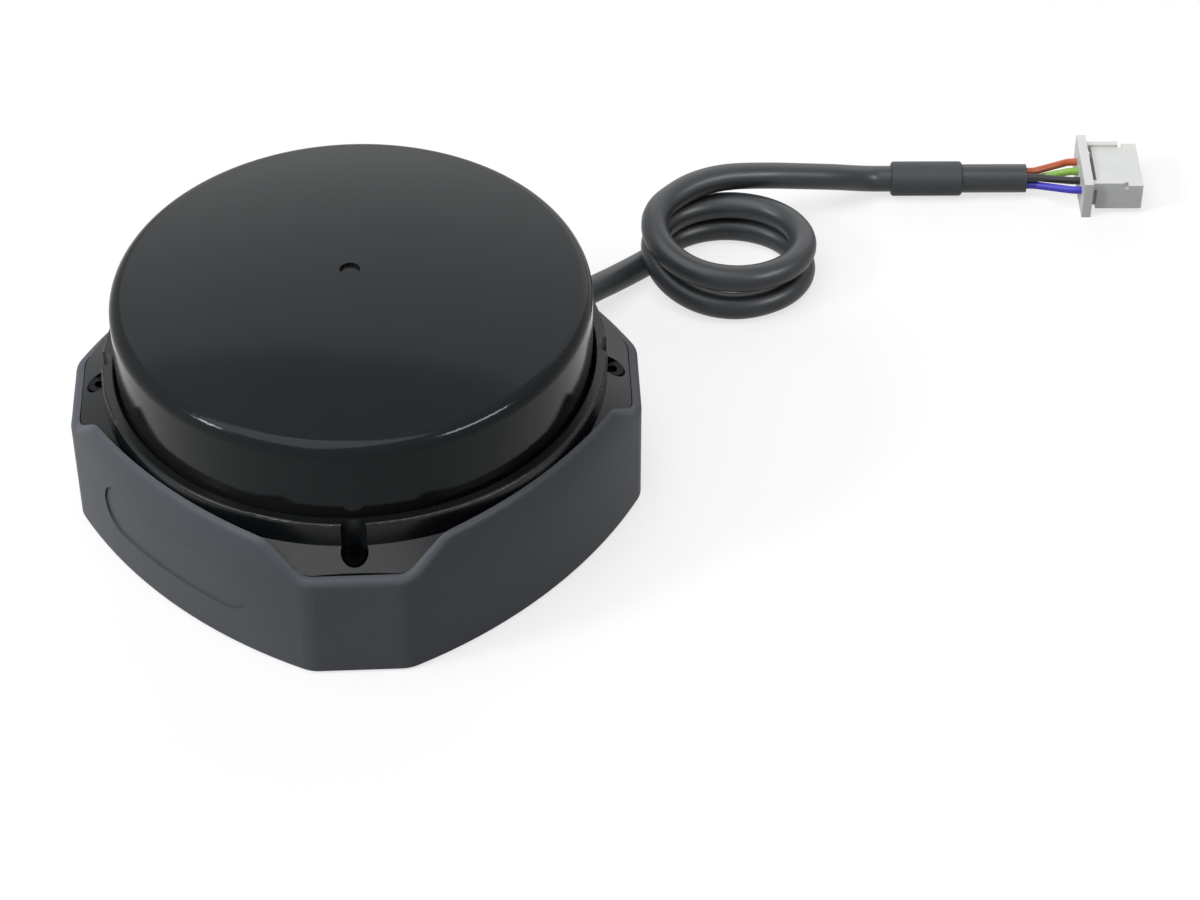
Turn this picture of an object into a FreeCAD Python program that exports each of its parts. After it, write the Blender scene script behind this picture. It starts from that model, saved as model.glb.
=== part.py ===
"""Enclosed scanning lidar: a square base with a round window cap, a spinning optical head inside,
and a short signal lead that ends in a four-way plug. Millimetres, +Z up, the origin is the centre
of the base's underside, the front is -Y and the lead leaves the +Y side."""

import FreeCAD
import Part
import math
import os

V = FreeCAD.Vector
ORIGIN = V(0, 0, 0)
UP = V(0, 0, 1)
FULL_TURN = 360
HEXAGON_STEP = 60
QUARTER_TURNS = (0, 90, 180, 270)
CORNER_ANGLES = (45, 135, 225, 315)

# Fits shared by several pieces
SEAT_GAP = 0.05             # between pieces that seat in each other and stay put
RUNNING_CLEARANCE = 0.03    # radial, shaft in its bearings
TURN_GAP = 0.6              # between the spinning head and what stands still above or below it
CUT_MARGIN = 1.0            # how far a cutting tool runs past the face that it opens

# Base housing, plan
SIDE_HALF_WIDTH = 38.5
SIDE_BULGE_RADIUS = 78.0
CORNER_EXTRA = 3.3          # how much farther out the flat across each corner lies than the sides
CORNER_BLEND_RADIUS = 5.0
SHELL_WALL = 1.35           # upper wall round the clamp ring
CAVITY_WALL = 5.0           # side wall round the cavity, at the middle of a side

# Base housing, heights
FLOOR_THICKNESS = 3.0
LEDGE_HEIGHT = 16.4         # ledge that carries the clamp ring
CORNER_RIM_RISE = 1.6       # corners and low rear walls, above the ledge
PARAPET_RISE = 6.3          # raised front and right walls, above the ledge
FOOT_CHAMFER = 0.5
LEAN_INSET = 0.6            # how far the raised walls lean in at the top
LEAN_SECTIONS = 4
RIM_FILLET = 1.2

# Ramps from the raised walls down to the corners, measured across each diagonal
RAMP_ANGLES = (45, 225, 315)
LOW_HALF_HEADING = 45       # of the diagonal that parts the raised walls from the low ones
RAMP_FOOT_HALF_SPAN = 7.4
RAMP_SLOPE = math.radians(44)
RAMP_BLEND_RADIUS = 3.0

# Bare recessed panel on the front wall
PANEL_WIDTH = 30.0
PANEL_HEIGHT = 9.0
PANEL_CENTRE_HEIGHT = 11.0
PANEL_DEPTH = 0.3

# Threaded fixing holes in the underside
FIXING_SPACING = 44.0
FIXING_HOLE_RADIUS = 1.25
FIXING_HOLE_DEPTH = 4.0
FIXING_BOSS_WALL = 1.95
FIXING_BOSS_CAP = 1.2

# Window cap
CAP_WALL = 2.0
CAP_TOP = 39.85
DOME_RISE = 3.4
CAP_EDGE_RADIUS = 2.1
CAP_FOOT_OVERHANG = 1.1
CAP_FOOT_HEIGHT = 0.8
GATE_DIMPLE_RADIUS = 1.5
GATE_DIMPLE_DEPTH = 0.5
SEAL_THICKNESS = 0.6

# Clamp ring
RING_CLEARANCE = 0.15       # to the base's upper wall
RING_BORE_CLEARANCE = 0.2   # round the cap
COLLAR_WALL = 1.9
RING_HEIGHT = 7.9           # top of the collar, above the ledge
EAR_INNER_RISE = 4.0        # sloping ear where it meets the collar, above the ledge
EAR_OUTER_RISE = 1.8        # sloping ear at the corner, above the ledge
RING_TOP_FILLET = 0.4

# Socket-head screws that hold the clamp ring
CAP_SCREW_INSET = 4.1       # from the flat across the corner to the screw's axis
CAP_SCREW_HEAD_RADIUS = 1.7
CAP_SCREW_HEAD_HEIGHT = 1.4
CAP_SCREW_RADIUS = 1.0
CAP_SCREW_LENGTH = 7.0
CAP_SCREW_CLAMP = 1.6       # ring left under the head
COUNTERBORE_CLEARANCE = 0.25
SOCKET_SHARE = 0.5          # socket radius and depth as a share of the head's

# Bearings, shaft and motor
SHAFT_RADIUS = 2.0
SHAFT_BORE_RADIUS = 0.9
SHAFT_TAIL = 0.9            # below the lower bearing
CLIP_THICKNESS = 0.4
CLIP_GAP = 0.15
CLIP_GROOVE_DEPTH = 0.4
CLIP_WIDTH = 1.4
CLIP_OPENING = 1.6
BEARING_RADIUS = 4.5
BEARING_WIDTH = 4.0
BEARING_SHIELD_DEPTH = 0.3
BEARING_RACE_WIDTH = 0.7
BEARING_SPACING = 2.3
LOWER_BEARING_RISE = 2.5    # above the floor
BEARING_TUBE_WALL = 1.5
BEARING_SHOULDER = 0.8
MOTOR_FLANGE_RADIUS = 12.0
MOTOR_FLANGE_THICKNESS = 1.5
STATOR_SEAT_STEP = 0.6
STATOR_RISE = 5.8           # above the floor
STATOR_HEIGHT = 4.5
STATOR_RADIUS = 12.6
STATOR_YOKE = 1.6
STATOR_TEETH = 9
TOOTH_WIDTH = 1.6
TOOTH_SHOE_THICKNESS = 1.0
TOOTH_SHOE_SPAN = 30.0
WINDING_BUILD = 0.9
MAGNET_GAP = 0.4
MAGNET_THICKNESS = 1.5
MAGNET_OVERHANG = 0.4
BELL_WALL = 1.0
BELL_TOP_THICKNESS = 1.2
BELL_HUB_RADIUS = 3.4
BELL_HUB_GAP = 0.2

# Boards, power coils, encoder and data link
BOARD_THICKNESS = 1.6
MAIN_BOARD_INSET = 6.5      # from the wall of the cavity
MAIN_BOARD_RISE = 2.6
MAIN_BOARD_HOLE_GAP = 0.5
STANDOFF_RADIUS = 2.4
COIL_WIDTH = 2.8
COIL_ENCODER_GAP = 1.8
FIXED_COIL_HEIGHT = 3.4
TURNING_COIL_HEIGHT = 3.2
COIL_CORNER = 0.6
COIL_CORNER_LIMIT = 0.3     # most of the coil's width that one of its corners takes
ENCODER_INSET = 5.3         # from the edge of the deck
ENCODER_WALL = 1.0
ENCODER_HEIGHT = 5.0
ENCODER_TEETH = 36
ENCODER_SLOT_SHARE = 0.5
ENCODER_SLOT_HEIGHT = 3.0
SENSOR_SLOT_GAP = 0.5
SENSOR_ARM = 0.9
SENSOR_WIDTH = 4.6
SENSOR_REACH_UP = 3.0       # overlap of the sensor's arms with the encoder ring
LINK_RADIUS = 2.2
LINK_HEIGHT = 1.1
LINK_EMITTER_LENGTH = 1.6

# Spinning deck
ROTOR_CLEARANCE = 2.4       # between the deck and the cap
DECK_THICKNESS = 1.6
HAT_WALL = 1.4
HAT_GAP = 0.4
ROTOR_BOARD_INSET = 1.0     # from the edge of the deck
ROTOR_BOARD_THICKNESS = 1.2
ROTOR_BOARD_GAP = 0.25
COUNTERWEIGHT_HAT_GAP = 1.65
COUNTERWEIGHT_INSET = 0.5   # from the edge of the rotor board
COUNTERWEIGHT_HEIGHT = 3.0
COUNTERWEIGHT_SPAN = 70.0
COUNTERWEIGHT_HEADING = 90.0

# Optics
OPTICS_HEAD_GAP = 0.6       # between the larger barrel and the level of the cap's ceiling at its edge
BARREL_RISE = 1.0           # of the larger barrel above the frame's plate
OPTICS_PLATE_THICKNESS = 1.5
OPTICS_HALF_WIDTH = 16.0
OPTICS_FRONT = -22.0
OPTICS_BACK_PLATE_FRONT = 2.0
OPTICS_BACK_PLATE = 2.0
OPTICS_PLATE_REAR = 10.0
OPTICS_WEB = 2.0
EMITTER_X = -10.0
EMITTER_LENS_RADIUS = 3.4
RECEIVER_X = 6.0
BARREL_WALL = 1.0
LENS_SEAT_STEP = 0.6
LENS_EDGE = 1.5
LENS_BULGE = 1.4
RETAINER_LENGTH = 1.2
SENSOR_BOARD_THICKNESS = 1.2
SENSOR_BOARD_INSET = 0.3    # from the top and bottom of the larger barrel
SENSOR_BOARD_SIDE = 4.0
LASER_FLANGE_RADIUS = 2.2
LASER_FLANGE = 0.8
LASER_CAN_RADIUS = 1.6
LASER_CAN_LENGTH = 2.2
DETECTOR_SIZE = 4.0
DETECTOR_THICKNESS = 1.6
BACK_HOLE_GAP = 0.4

# Small pan-head screws of the inner assemblies
SMALL_HEAD_RADIUS = 1.4
SMALL_HEAD_HEIGHT = 0.9
SMALL_SCREW_RADIUS = 0.7
SMALL_SCREW_GRIP = 1.3      # thread in the piece underneath
MOTOR_SCREW_ANGLES = (0, 120, 240)
DECK_SCREW_ANGLES = (30, 150, 270)
ROTOR_BOARD_SCREW_ANGLES = (30, 150, 210, 330)

# Lead and grommet
CABLE_RADIUS = 2.15
CABLE_EXIT_HEIGHT = 5.0
GROMMET_RADIUS = 3.2
GROMMET_FLANGE_RADIUS = 4.0
GROMMET_FLANGE = 1.2
BOOT_LENGTH = 6.3
BOOT_TIP_RADIUS = 2.7
TURN_SHARE = 0.45           # share of a straight run that each bend of a tube takes up

# Wound turns of the lead, an oval lying on the surface that the base stands on
TURNS_HALF_LENGTH = 12.0
TURNS_HALF_WIDTH = 10.1
TURNS_HEADING = 42.4        # of the oval's long axis, in degrees
TURNS_STACK_HEIGHT = 9.0
TURNS_CENTRE = (10.3, 26.5)

# Routes of the lead into and out of its turns: x, distance behind the boot's tip, height
LEAD_STEPS = [
    (0.0, 0.0, CABLE_EXIT_HEIGHT),
    (0.0, 5.0, CABLE_EXIT_HEIGHT),
    (0.1, 11.0, CABLE_RADIUS + 1.25),
    (0.0, 16.0, CABLE_RADIUS + 0.35),
    (-0.4, 20.5, CABLE_RADIUS + 0.05),
    (-0.9, 24.8, CABLE_RADIUS),
]
TAIL_STEPS = [
    (0.6, 19.5, 10.8),
    (-0.9, 24.7, 10.95),
    (-0.4, 29.6, 11.2),
    (1.6, 35.0, 10.9),
    (5.4, 41.0, 9.7),
    (8.5, 47.0, 7.7),
    (11.2, 52.3, 5.9),
    (12.9, 58.33, 2.95),
    (15.9, 61.1, 2.95),
]

# Sleeves, wires and plug at the far end of the lead
END_HEADING = math.radians(42.7)
SLEEVE_RADIUS = 2.85
SLEEVE_LENGTH = 11.7
SHEATH_RADIUS = 2.35
SHEATH_LENGTH = 10.6
WIRE_RADIUS = 0.62
WIRE_LENGTH = 8.8
WIRE_STRAIGHT = 1.4
WIRE_BUNDLE = 0.8           # offset of each wire from the sheath's middle
PLUG_PITCH = 2.5
PLUG_WAYS = 4
PLUG_WIDTH = 13.4           # across the flange
PLUG_THICKNESS = 6.75       # across the flange
PLUG_LENGTH = 9.8
PLUG_FLANGE = 1.5
PLUG_FLANGE_STEP = 1.05     # of the flange above the core, all round
PLUG_RIB_WIDTH = 0.9
PLUG_RIB_LENGTH = 5.2
PLUG_RIB_RISE = 0.5
PLUG_SLOT_LENGTH = 0.8      # of the slots behind the flange
PLUG_SLOT_DEPTH = 2.2        # down to the wires
PLUG_SIDE_SLOT_DEPTH = 1.0
PLUG_NOTCH = 0.7            # at the end of each rib
PLUG_CAVITY = 1.9
PLUG_CAVITY_DEPTH = 7.0
CONTACT_SIZE = 1.5
CONTACT_LENGTH = 5.6

# Leads inside the base
INNER_LEAD_RADIUS = 0.4
INNER_LEAD_PITCH = 1.5
INNER_LEAD_STRAIGHT = 1.6
INNER_LEAD_BUNDLE = 0.6
SOCKET_WIDTH = 8.0
SOCKET_DEPTH = 4.2
SOCKET_HEIGHT = 1.7

# Heights and radii that follow from the sizes above
corner_facet_reach = SIDE_HALF_WIDTH + CORNER_EXTRA
cavity_radius = SIDE_HALF_WIDTH - CAVITY_WALL
corner_rim_height = LEDGE_HEIGHT + CORNER_RIM_RISE
parapet_height = LEDGE_HEIGHT + PARAPET_RISE
floor_top = FLOOR_THICKNESS
lower_bearing_low = floor_top + LOWER_BEARING_RISE
lower_bearing_high = lower_bearing_low + BEARING_WIDTH
upper_bearing_low = lower_bearing_high + BEARING_SPACING
upper_bearing_high = upper_bearing_low + BEARING_WIDTH
bearing_seat_radius = BEARING_RADIUS + SEAT_GAP
bearing_tube_radius = bearing_seat_radius + BEARING_TUBE_WALL
stator_low = floor_top + STATOR_RISE
stator_high = stator_low + STATOR_HEIGHT
magnet_inner = STATOR_RADIUS + MAGNET_GAP
magnet_outer = magnet_inner + MAGNET_THICKNESS
bell_inner = magnet_outer + SEAT_GAP
bell_outer = bell_inner + BELL_WALL
bell_low = stator_low - TURN_GAP
bell_top_low = upper_bearing_high + TURN_GAP
bell_top = bell_top_low + BELL_TOP_THICKNESS
shaft_low = lower_bearing_low - SHAFT_TAIL
clip_high = lower_bearing_low - CLIP_GAP
clip_low = clip_high - CLIP_THICKNESS
board_low = floor_top + MAIN_BOARD_RISE
board_top = board_low + BOARD_THICKNESS
fixed_coil_top = board_top + FIXED_COIL_HEIGHT
deck_low = fixed_coil_top + TURN_GAP + TURNING_COIL_HEIGHT
deck_top = deck_low + DECK_THICKNESS
hat_top = bell_top + DECK_THICKNESS
hat_inner = bell_outer + HAT_GAP
hat_outer = hat_inner + HAT_WALL
rotor_board_top = deck_top + ROTOR_BOARD_THICKNESS
optics_plate_top = hat_top + OPTICS_PLATE_THICKNESS
barrel_low = optics_plate_top + BARREL_RISE
barrel_high = CAP_TOP - DOME_RISE - CAP_WALL - OPTICS_HEAD_GAP
optics_axis = (barrel_low + barrel_high) / 2
receiver_barrel_radius = (barrel_high - barrel_low) / 2
receiver_lens_radius = receiver_barrel_radius - BARREL_WALL - SEAT_GAP
sensor_half_height = receiver_barrel_radius - SENSOR_BOARD_INSET
back_plate_rear = OPTICS_BACK_PLATE_FRONT + OPTICS_BACK_PLATE
seal_top = LEDGE_HEIGHT + SEAL_THICKNESS
cap_foot_top = seal_top + CAP_FOOT_HEIGHT
ring_radius = SIDE_HALF_WIDTH - SHELL_WALL - RING_CLEARANCE
ring_bore = ring_radius - COLLAR_WALL
ring_top = LEDGE_HEIGHT + RING_HEIGHT
ear_inner_height = LEDGE_HEIGHT + EAR_INNER_RISE
cap_radius = ring_bore - RING_BORE_CLEARANCE
cap_inner = cap_radius - CAP_WALL
cap_foot_radius = cap_radius + CAP_FOOT_OVERHANG
cap_screw_reach = corner_facet_reach - CAP_SCREW_INSET
cap_screw_seat = LEDGE_HEIGHT + CAP_SCREW_CLAMP
main_board_radius = cavity_radius - MAIN_BOARD_INSET
board_screw_reach = main_board_radius - STANDOFF_RADIUS
deck_radius = cap_inner - ROTOR_CLEARANCE
rotor_board_radius = deck_radius - ROTOR_BOARD_INSET
encoder_radius = deck_radius - ENCODER_INSET
encoder_inner = encoder_radius - ENCODER_WALL
coil_outer = encoder_inner - COIL_ENCODER_GAP
coil_inner = coil_outer - COIL_WIDTH
encoder_low = deck_low - ENCODER_HEIGHT
fixing_boss_radius = FIXING_HOLE_RADIUS + FIXING_BOSS_WALL
boot_tip = SIDE_HALF_WIDTH + GROMMET_FLANGE + BOOT_LENGTH
lead_route = [V(x, boot_tip + back, height) for x, back, height in LEAD_STEPS]
tail_route = [V(x, boot_tip + back, height) for x, back, height in TAIL_STEPS]
end_along = V(math.cos(END_HEADING), math.sin(END_HEADING), 0)
end_across = V(-math.sin(END_HEADING), math.cos(END_HEADING), 0)


def disc(radius, low, high, x=0.0, y=0.0):
    """Upright cylinder between two heights."""
    return Part.makeCylinder(radius, high - low, V(x, y, low))


def ring(inner, outer, low, high):
    """Upright tube between two heights."""
    return disc(outer, low, high).cut(disc(inner, low, high))


def block(x_span, y_span, z_span):
    """Box between pairs of coordinates."""
    corner = V(x_span[0], y_span[0], z_span[0])
    return Part.makeBox(x_span[1] - x_span[0], y_span[1] - y_span[0], z_span[1] - z_span[0], corner)


def revolve(profile):
    """Turned solid about Z from a closed outline of (radius, height) points."""
    points = [V(radius, 0, height) for radius, height in profile]
    face = Part.Face(Part.makePolygon(points + points[:1]))
    return face.revolve(ORIGIN, UP, FULL_TURN)


def along_y(shape, x, y, z):
    """Move a solid turned about Z so that its axis runs along +Y through (x, y, z)."""
    shape.rotate(ORIGIN, V(1, 0, 0), -90)
    shape.translate(V(x, y, z))
    return shape


def spots(radius, angles):
    """Points on a circle, at angles in degrees."""
    return [
        (radius * math.cos(math.radians(angle)), radius * math.sin(math.radians(angle)))
        for angle in angles
    ]


def even_angles(count):
    """Evenly spread angles of a full turn, in degrees."""
    return [index * FULL_TURN / count for index in range(count)]


def turned(shape, angle):
    """Copy of a solid turned about the axis, by an angle in degrees."""
    copy = shape.copy()
    copy.rotate(ORIGIN, UP, angle)
    return copy


def base_outline(inset, height):
    """Plan of the base drawn in by an inset: bulging sides, corner facets and their blends."""
    side_centre = V(SIDE_HALF_WIDTH - SIDE_BULGE_RADIUS, 0, 0)
    shift = side_centre.x / math.sqrt(2)
    facet_to_blend = corner_facet_reach - CORNER_BLEND_RADIUS
    side_to_blend = SIDE_BULGE_RADIUS - CORNER_BLEND_RADIUS
    half_facet = shift + math.sqrt(side_to_blend ** 2 - (facet_to_blend - shift) ** 2)
    diagonal = V(1, 1, 0).normalize()
    blend_centre = diagonal * facet_to_blend + V(1, -1, 0).normalize() * half_facet
    to_side = (blend_centre - side_centre).normalize()
    blend_radius = CORNER_BLEND_RADIUS - inset
    side_end = side_centre + to_side * (SIDE_BULGE_RADIUS - inset)
    blend_middle = blend_centre + (to_side + diagonal).normalize() * blend_radius
    facet_start = blend_centre + diagonal * blend_radius
    side_start = V(side_end.x, -side_end.y, 0)
    side_middle = V(SIDE_HALF_WIDTH - inset, 0, 0)
    facet_end = V(facet_start.y, facet_start.x, 0)
    far_middle = V(blend_middle.y, blend_middle.x, 0)
    far_side = V(side_end.y, side_end.x, 0)
    edges = []
    for angle in QUARTER_TURNS:
        quarter = [
            Part.Arc(side_start, side_middle, side_end).toShape(),
            Part.Arc(side_end, blend_middle, facet_start).toShape(),
            Part.LineSegment(facet_start, facet_end).toShape(),
            Part.Arc(facet_end, far_middle, far_side).toShape(),
        ]
        edges += [turned(edge, angle) for edge in quarter]
    wire = Part.Wire(edges)
    wire.translate(V(0, 0, height))
    return wire


def outline_prism(inset, low, high):
    """Straight-sided block of the base's plan."""
    return Part.Face(base_outline(inset, low)).extrude(V(0, 0, high - low))


def ramp_profile():
    """Face across a diagonal that clears a corner: level rim, two ramps and their soft blends."""
    tangent = RAMP_BLEND_RADIUS * math.tan(RAMP_SLOPE / 2)
    rise = tangent * math.sin(RAMP_SLOPE)
    run = tangent * math.cos(RAMP_SLOPE)
    sag = RAMP_BLEND_RADIUS * (1 - math.cos(RAMP_SLOPE / 2))
    lead = RAMP_BLEND_RADIUS * math.sin(RAMP_SLOPE / 2)
    top_half_span = RAMP_FOOT_HALF_SPAN + (parapet_height - corner_rim_height) / math.tan(RAMP_SLOPE)
    foot_inner = (RAMP_FOOT_HALF_SPAN - tangent, corner_rim_height)
    foot_middle = (foot_inner[0] + lead, corner_rim_height + sag)
    foot_outer = (RAMP_FOOT_HALF_SPAN + run, corner_rim_height + rise)
    top_inner = (top_half_span - run, parapet_height - rise)
    top_outer = (top_half_span + tangent, parapet_height)
    top_middle = (top_outer[0] - lead, parapet_height - sag)
    over = (top_outer[0], parapet_height + CUT_MARGIN)
    edges = []
    for side in (1, -1):
        at = {name: V(0, side * point[0], point[1]) for name, point in (
            ("foot_inner", foot_inner), ("foot_middle", foot_middle), ("foot_outer", foot_outer),
            ("top_inner", top_inner), ("top_middle", top_middle), ("top_outer", top_outer), ("over", over))}
        edges.append(Part.Arc(at["foot_inner"], at["foot_middle"], at["foot_outer"]).toShape())
        edges.append(Part.LineSegment(at["foot_outer"], at["top_inner"]).toShape())
        edges.append(Part.Arc(at["top_inner"], at["top_middle"], at["top_outer"]).toShape())
        edges.append(Part.LineSegment(at["top_outer"], at["over"]).toShape())
    for half_span, height in (foot_inner, over):
        edges.append(Part.LineSegment(V(0, -half_span, height), V(0, half_span, height)).toShape())
    return Part.Face(Part.Wire(Part.__sortEdges__(edges)))


def base_block():
    """Outer form of the base: walls leaning in above the ledge, two raised and two low, and low corners."""
    lean_height = parapet_height - LEDGE_HEIGHT
    lean_radius = (LEAN_INSET ** 2 + lean_height ** 2) / (2 * LEAN_INSET)
    sections = []
    for step in range(LEAN_SECTIONS):
        rise = lean_height * step / (LEAN_SECTIONS - 1)
        inset = lean_radius - math.sqrt(lean_radius ** 2 - rise ** 2)
        sections.append(base_outline(inset, LEDGE_HEIGHT + rise))
    body = outline_prism(0, 0, LEDGE_HEIGHT).fuse(Part.makeLoft(sections, True, False)).removeSplitter()
    clearing = ramp_profile().extrude(V(corner_facet_reach + CUT_MARGIN, 0, 0))
    for angle in RAMP_ANGLES:
        body = body.cut(turned(clearing, angle))
    reach = 2 * SIDE_HALF_WIDTH
    low_half = block((-reach, reach), (0, reach), (corner_rim_height, parapet_height + CUT_MARGIN))
    body = body.cut(turned(low_half, LOW_HALF_HEADING)).removeSplitter().Solids[0]
    rim = [edge for edge in body.Edges if on_upper_rim(edge)]
    body = body.makeFillet(RIM_FILLET, rim)
    foot = [edge for edge in body.Edges if edge.BoundBox.ZMax < FOOT_CHAMFER]
    return body.makeChamfer(FOOT_CHAMFER, foot)


def on_upper_rim(edge):
    """True for the edges where the outer wall meets the top of the base."""
    middle = edge.valueAt((edge.FirstParameter + edge.LastParameter) / 2)
    inside = SIDE_HALF_WIDTH - LEAN_INSET - SHELL_WALL
    return edge.BoundBox.ZMin > corner_rim_height - SEAT_GAP and math.hypot(middle.x, middle.y) > inside


def panel_recess():
    """Shallow stadium-shaped recess in the front wall, following its bulge."""
    half_straight = (PANEL_WIDTH - PANEL_HEIGHT) / 2
    end_radius = PANEL_HEIGHT / 2
    depth = (-SIDE_HALF_WIDTH - CUT_MARGIN, -SIDE_HALF_WIDTH + SIDE_BULGE_RADIUS)
    low = PANEL_CENTRE_HEIGHT - end_radius
    stadium = block((-half_straight, half_straight), depth, (low, low + PANEL_HEIGHT))
    for x in (-half_straight, half_straight):
        end = disc(end_radius, 0, depth[1] - depth[0])
        stadium = stadium.fuse(along_y(end, x, depth[0], PANEL_CENTRE_HEIGHT))
    inner = disc(SIDE_BULGE_RADIUS - PANEL_DEPTH, 0, parapet_height, 0, SIDE_BULGE_RADIUS - SIDE_HALF_WIDTH)
    return stadium.cut(inner).Solids


def base_housing():
    """Moulded tray with bosses, standoffs, screw posts and the lead's hole."""
    body = base_block()
    body = body.cut(disc(cavity_radius, floor_top, LEDGE_HEIGHT + CUT_MARGIN))
    body = body.cut(outline_prism(SHELL_WALL, LEDGE_HEIGHT, parapet_height + CUT_MARGIN))
    half = FIXING_SPACING / 2
    fixings = [(x, y) for x in (-half, half) for y in (-half, half)]
    boss_top = FIXING_HOLE_DEPTH + FIXING_BOSS_CAP
    for x, y in fixings:
        body = body.fuse(disc(fixing_boss_radius, floor_top - SEAT_GAP, boss_top, x, y))
    for x, y in spots(board_screw_reach, CORNER_ANGLES):
        body = body.fuse(disc(STANDOFF_RADIUS, floor_top - SEAT_GAP, board_low, x, y))
    for x, y in fixings:
        body = body.cut(disc(FIXING_HOLE_RADIUS, 0, FIXING_HOLE_DEPTH, x, y))
    for x, y in spots(board_screw_reach, CORNER_ANGLES):
        body = body.cut(thread_hole(board_low, x, y))
    for x, y in spots(motor_screw_reach(), MOTOR_SCREW_ANGLES):
        body = body.cut(thread_hole(floor_top, x, y))
    for x, y in spots(cap_screw_reach, CORNER_ANGLES):
        low = cap_screw_seat - CAP_SCREW_LENGTH - SEAT_GAP
        body = body.cut(disc(CAP_SCREW_RADIUS + SEAT_GAP, low, LEDGE_HEIGHT, x, y))
    lead_hole = disc(GROMMET_RADIUS + SEAT_GAP, 0, SIDE_HALF_WIDTH - cavity_radius + 2 * CUT_MARGIN)
    body = body.cut(along_y(lead_hole, 0, cavity_radius - CUT_MARGIN, CABLE_EXIT_HEIGHT))
    for recess in panel_recess():
        body = body.cut(recess)
    return body.removeSplitter()


def window_cap():
    """Domed window, open below, with a foot that the clamp ring holds down."""
    dome_edge = CAP_TOP - DOME_RISE
    sphere_radius = (cap_radius ** 2 + DOME_RISE ** 2) / (2 * DOME_RISE)
    outside = disc(cap_radius, seal_top, CAP_TOP).common(
        Part.makeSphere(sphere_radius, V(0, 0, CAP_TOP - sphere_radius)))
    rim = [edge for edge in outside.Edges if abs(edge.BoundBox.ZMin - dome_edge) < SEAT_GAP and edge.Closed]
    outside = outside.makeFillet(CAP_EDGE_RADIUS, rim)
    foot = disc(cap_foot_radius, seal_top, cap_foot_top)
    inside = disc(cap_inner, seal_top - CUT_MARGIN, CAP_TOP).common(
        Part.makeSphere(sphere_radius - CAP_WALL, V(0, 0, CAP_TOP - sphere_radius)))
    dimple = disc(GATE_DIMPLE_RADIUS, CAP_TOP - GATE_DIMPLE_DEPTH, CAP_TOP + CUT_MARGIN)
    return outside.fuse(foot).cut(inside).cut(dimple).removeSplitter()


def cap_seal():
    """Flat rubber ring between the base's ledge and the cap's foot."""
    return ring(cavity_radius + SEAT_GAP, cap_foot_radius, LEDGE_HEIGHT, seal_top)


def clamp_ring():
    """Collar round the cap's foot, with four sloping ears that reach into the base's corners."""
    pocket = cap_foot_radius + RING_BORE_CLEARANCE
    ear_drop = (EAR_INNER_RISE - EAR_OUTER_RISE) / (corner_facet_reach - SHELL_WALL - ring_radius)
    ear_end = ear_inner_height - ear_drop * (corner_facet_reach - ring_radius)
    collar = revolve([
        (pocket, LEDGE_HEIGHT), (pocket, cap_foot_top), (ring_bore, cap_foot_top), (ring_bore, ring_top),
        (ring_radius, ring_top), (ring_radius, ear_inner_height), (corner_facet_reach, ear_end),
        (corner_facet_reach, LEDGE_HEIGHT)])
    top_edges = [edge for edge in collar.Edges if edge.Closed and edge.BoundBox.ZMin > ring_top - SEAT_GAP]
    collar = collar.makeFillet(RING_TOP_FILLET, top_edges)
    collar = collar.common(outline_prism(SHELL_WALL + RING_CLEARANCE, LEDGE_HEIGHT, ring_top))
    head_room = CAP_SCREW_HEAD_RADIUS + COUNTERBORE_CLEARANCE
    for x, y in spots(cap_screw_reach, CORNER_ANGLES):
        collar = collar.cut(disc(head_room, cap_screw_seat, ring_top + CUT_MARGIN, x, y))
        collar = collar.cut(disc(CAP_SCREW_RADIUS + SEAT_GAP, LEDGE_HEIGHT, cap_screw_seat, x, y))
    return collar


def cap_screws():
    """Socket-head screws, one in each corner."""
    socket_radius = CAP_SCREW_HEAD_RADIUS * SOCKET_SHARE
    socket_depth = CAP_SCREW_HEAD_HEIGHT * SOCKET_SHARE
    head_top = cap_screw_seat + CAP_SCREW_HEAD_HEIGHT
    corners = spots(socket_radius, range(0, FULL_TURN, HEXAGON_STEP))
    hexagon = [V(x, y, head_top - socket_depth) for x, y in corners]
    socket = Part.Face(Part.makePolygon(hexagon + hexagon[:1])).extrude(V(0, 0, socket_depth))
    screw = disc(CAP_SCREW_HEAD_RADIUS, cap_screw_seat, head_top).cut(socket)
    screw = screw.fuse(disc(CAP_SCREW_RADIUS, cap_screw_seat - CAP_SCREW_LENGTH, cap_screw_seat))
    return group_at(screw, spots(cap_screw_reach, CORNER_ANGLES))


def clear_hole(low, high, x, y):
    """Cutter for a small screw's hole through a piece."""
    return disc(SMALL_SCREW_RADIUS + SEAT_GAP, low, high, x, y)


def thread_hole(mouth, x, y):
    """Cutter for the blind hole that a small screw's thread fills."""
    return clear_hole(mouth - SMALL_SCREW_GRIP - SEAT_GAP, mouth, x, y)


def group_at(shape, places):
    """Copies of one solid at several (x, y) places, as a group."""
    copies = []
    for x, y in places:
        copy = shape.copy()
        copy.translate(V(x, y, 0))
        copies.append(copy)
    return Part.makeCompound(copies)


def small_screw(seat, grip):
    """Small pan-head screw on the axis, its head on the seat."""
    head = disc(SMALL_HEAD_RADIUS, seat, seat + SMALL_HEAD_HEIGHT)
    top = [edge for edge in head.Edges if edge.Closed and edge.BoundBox.ZMin > seat + SMALL_HEAD_HEIGHT / 2]
    head = head.makeChamfer(SMALL_HEAD_HEIGHT * SOCKET_SHARE, top)
    return head.fuse(disc(SMALL_SCREW_RADIUS, seat - grip, seat))


def motor_screw_reach():
    """Distance of the motor base's screws from the axis, midway across its flange."""
    return (MOTOR_FLANGE_RADIUS + bearing_tube_radius + STATOR_SEAT_STEP) / 2


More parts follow.
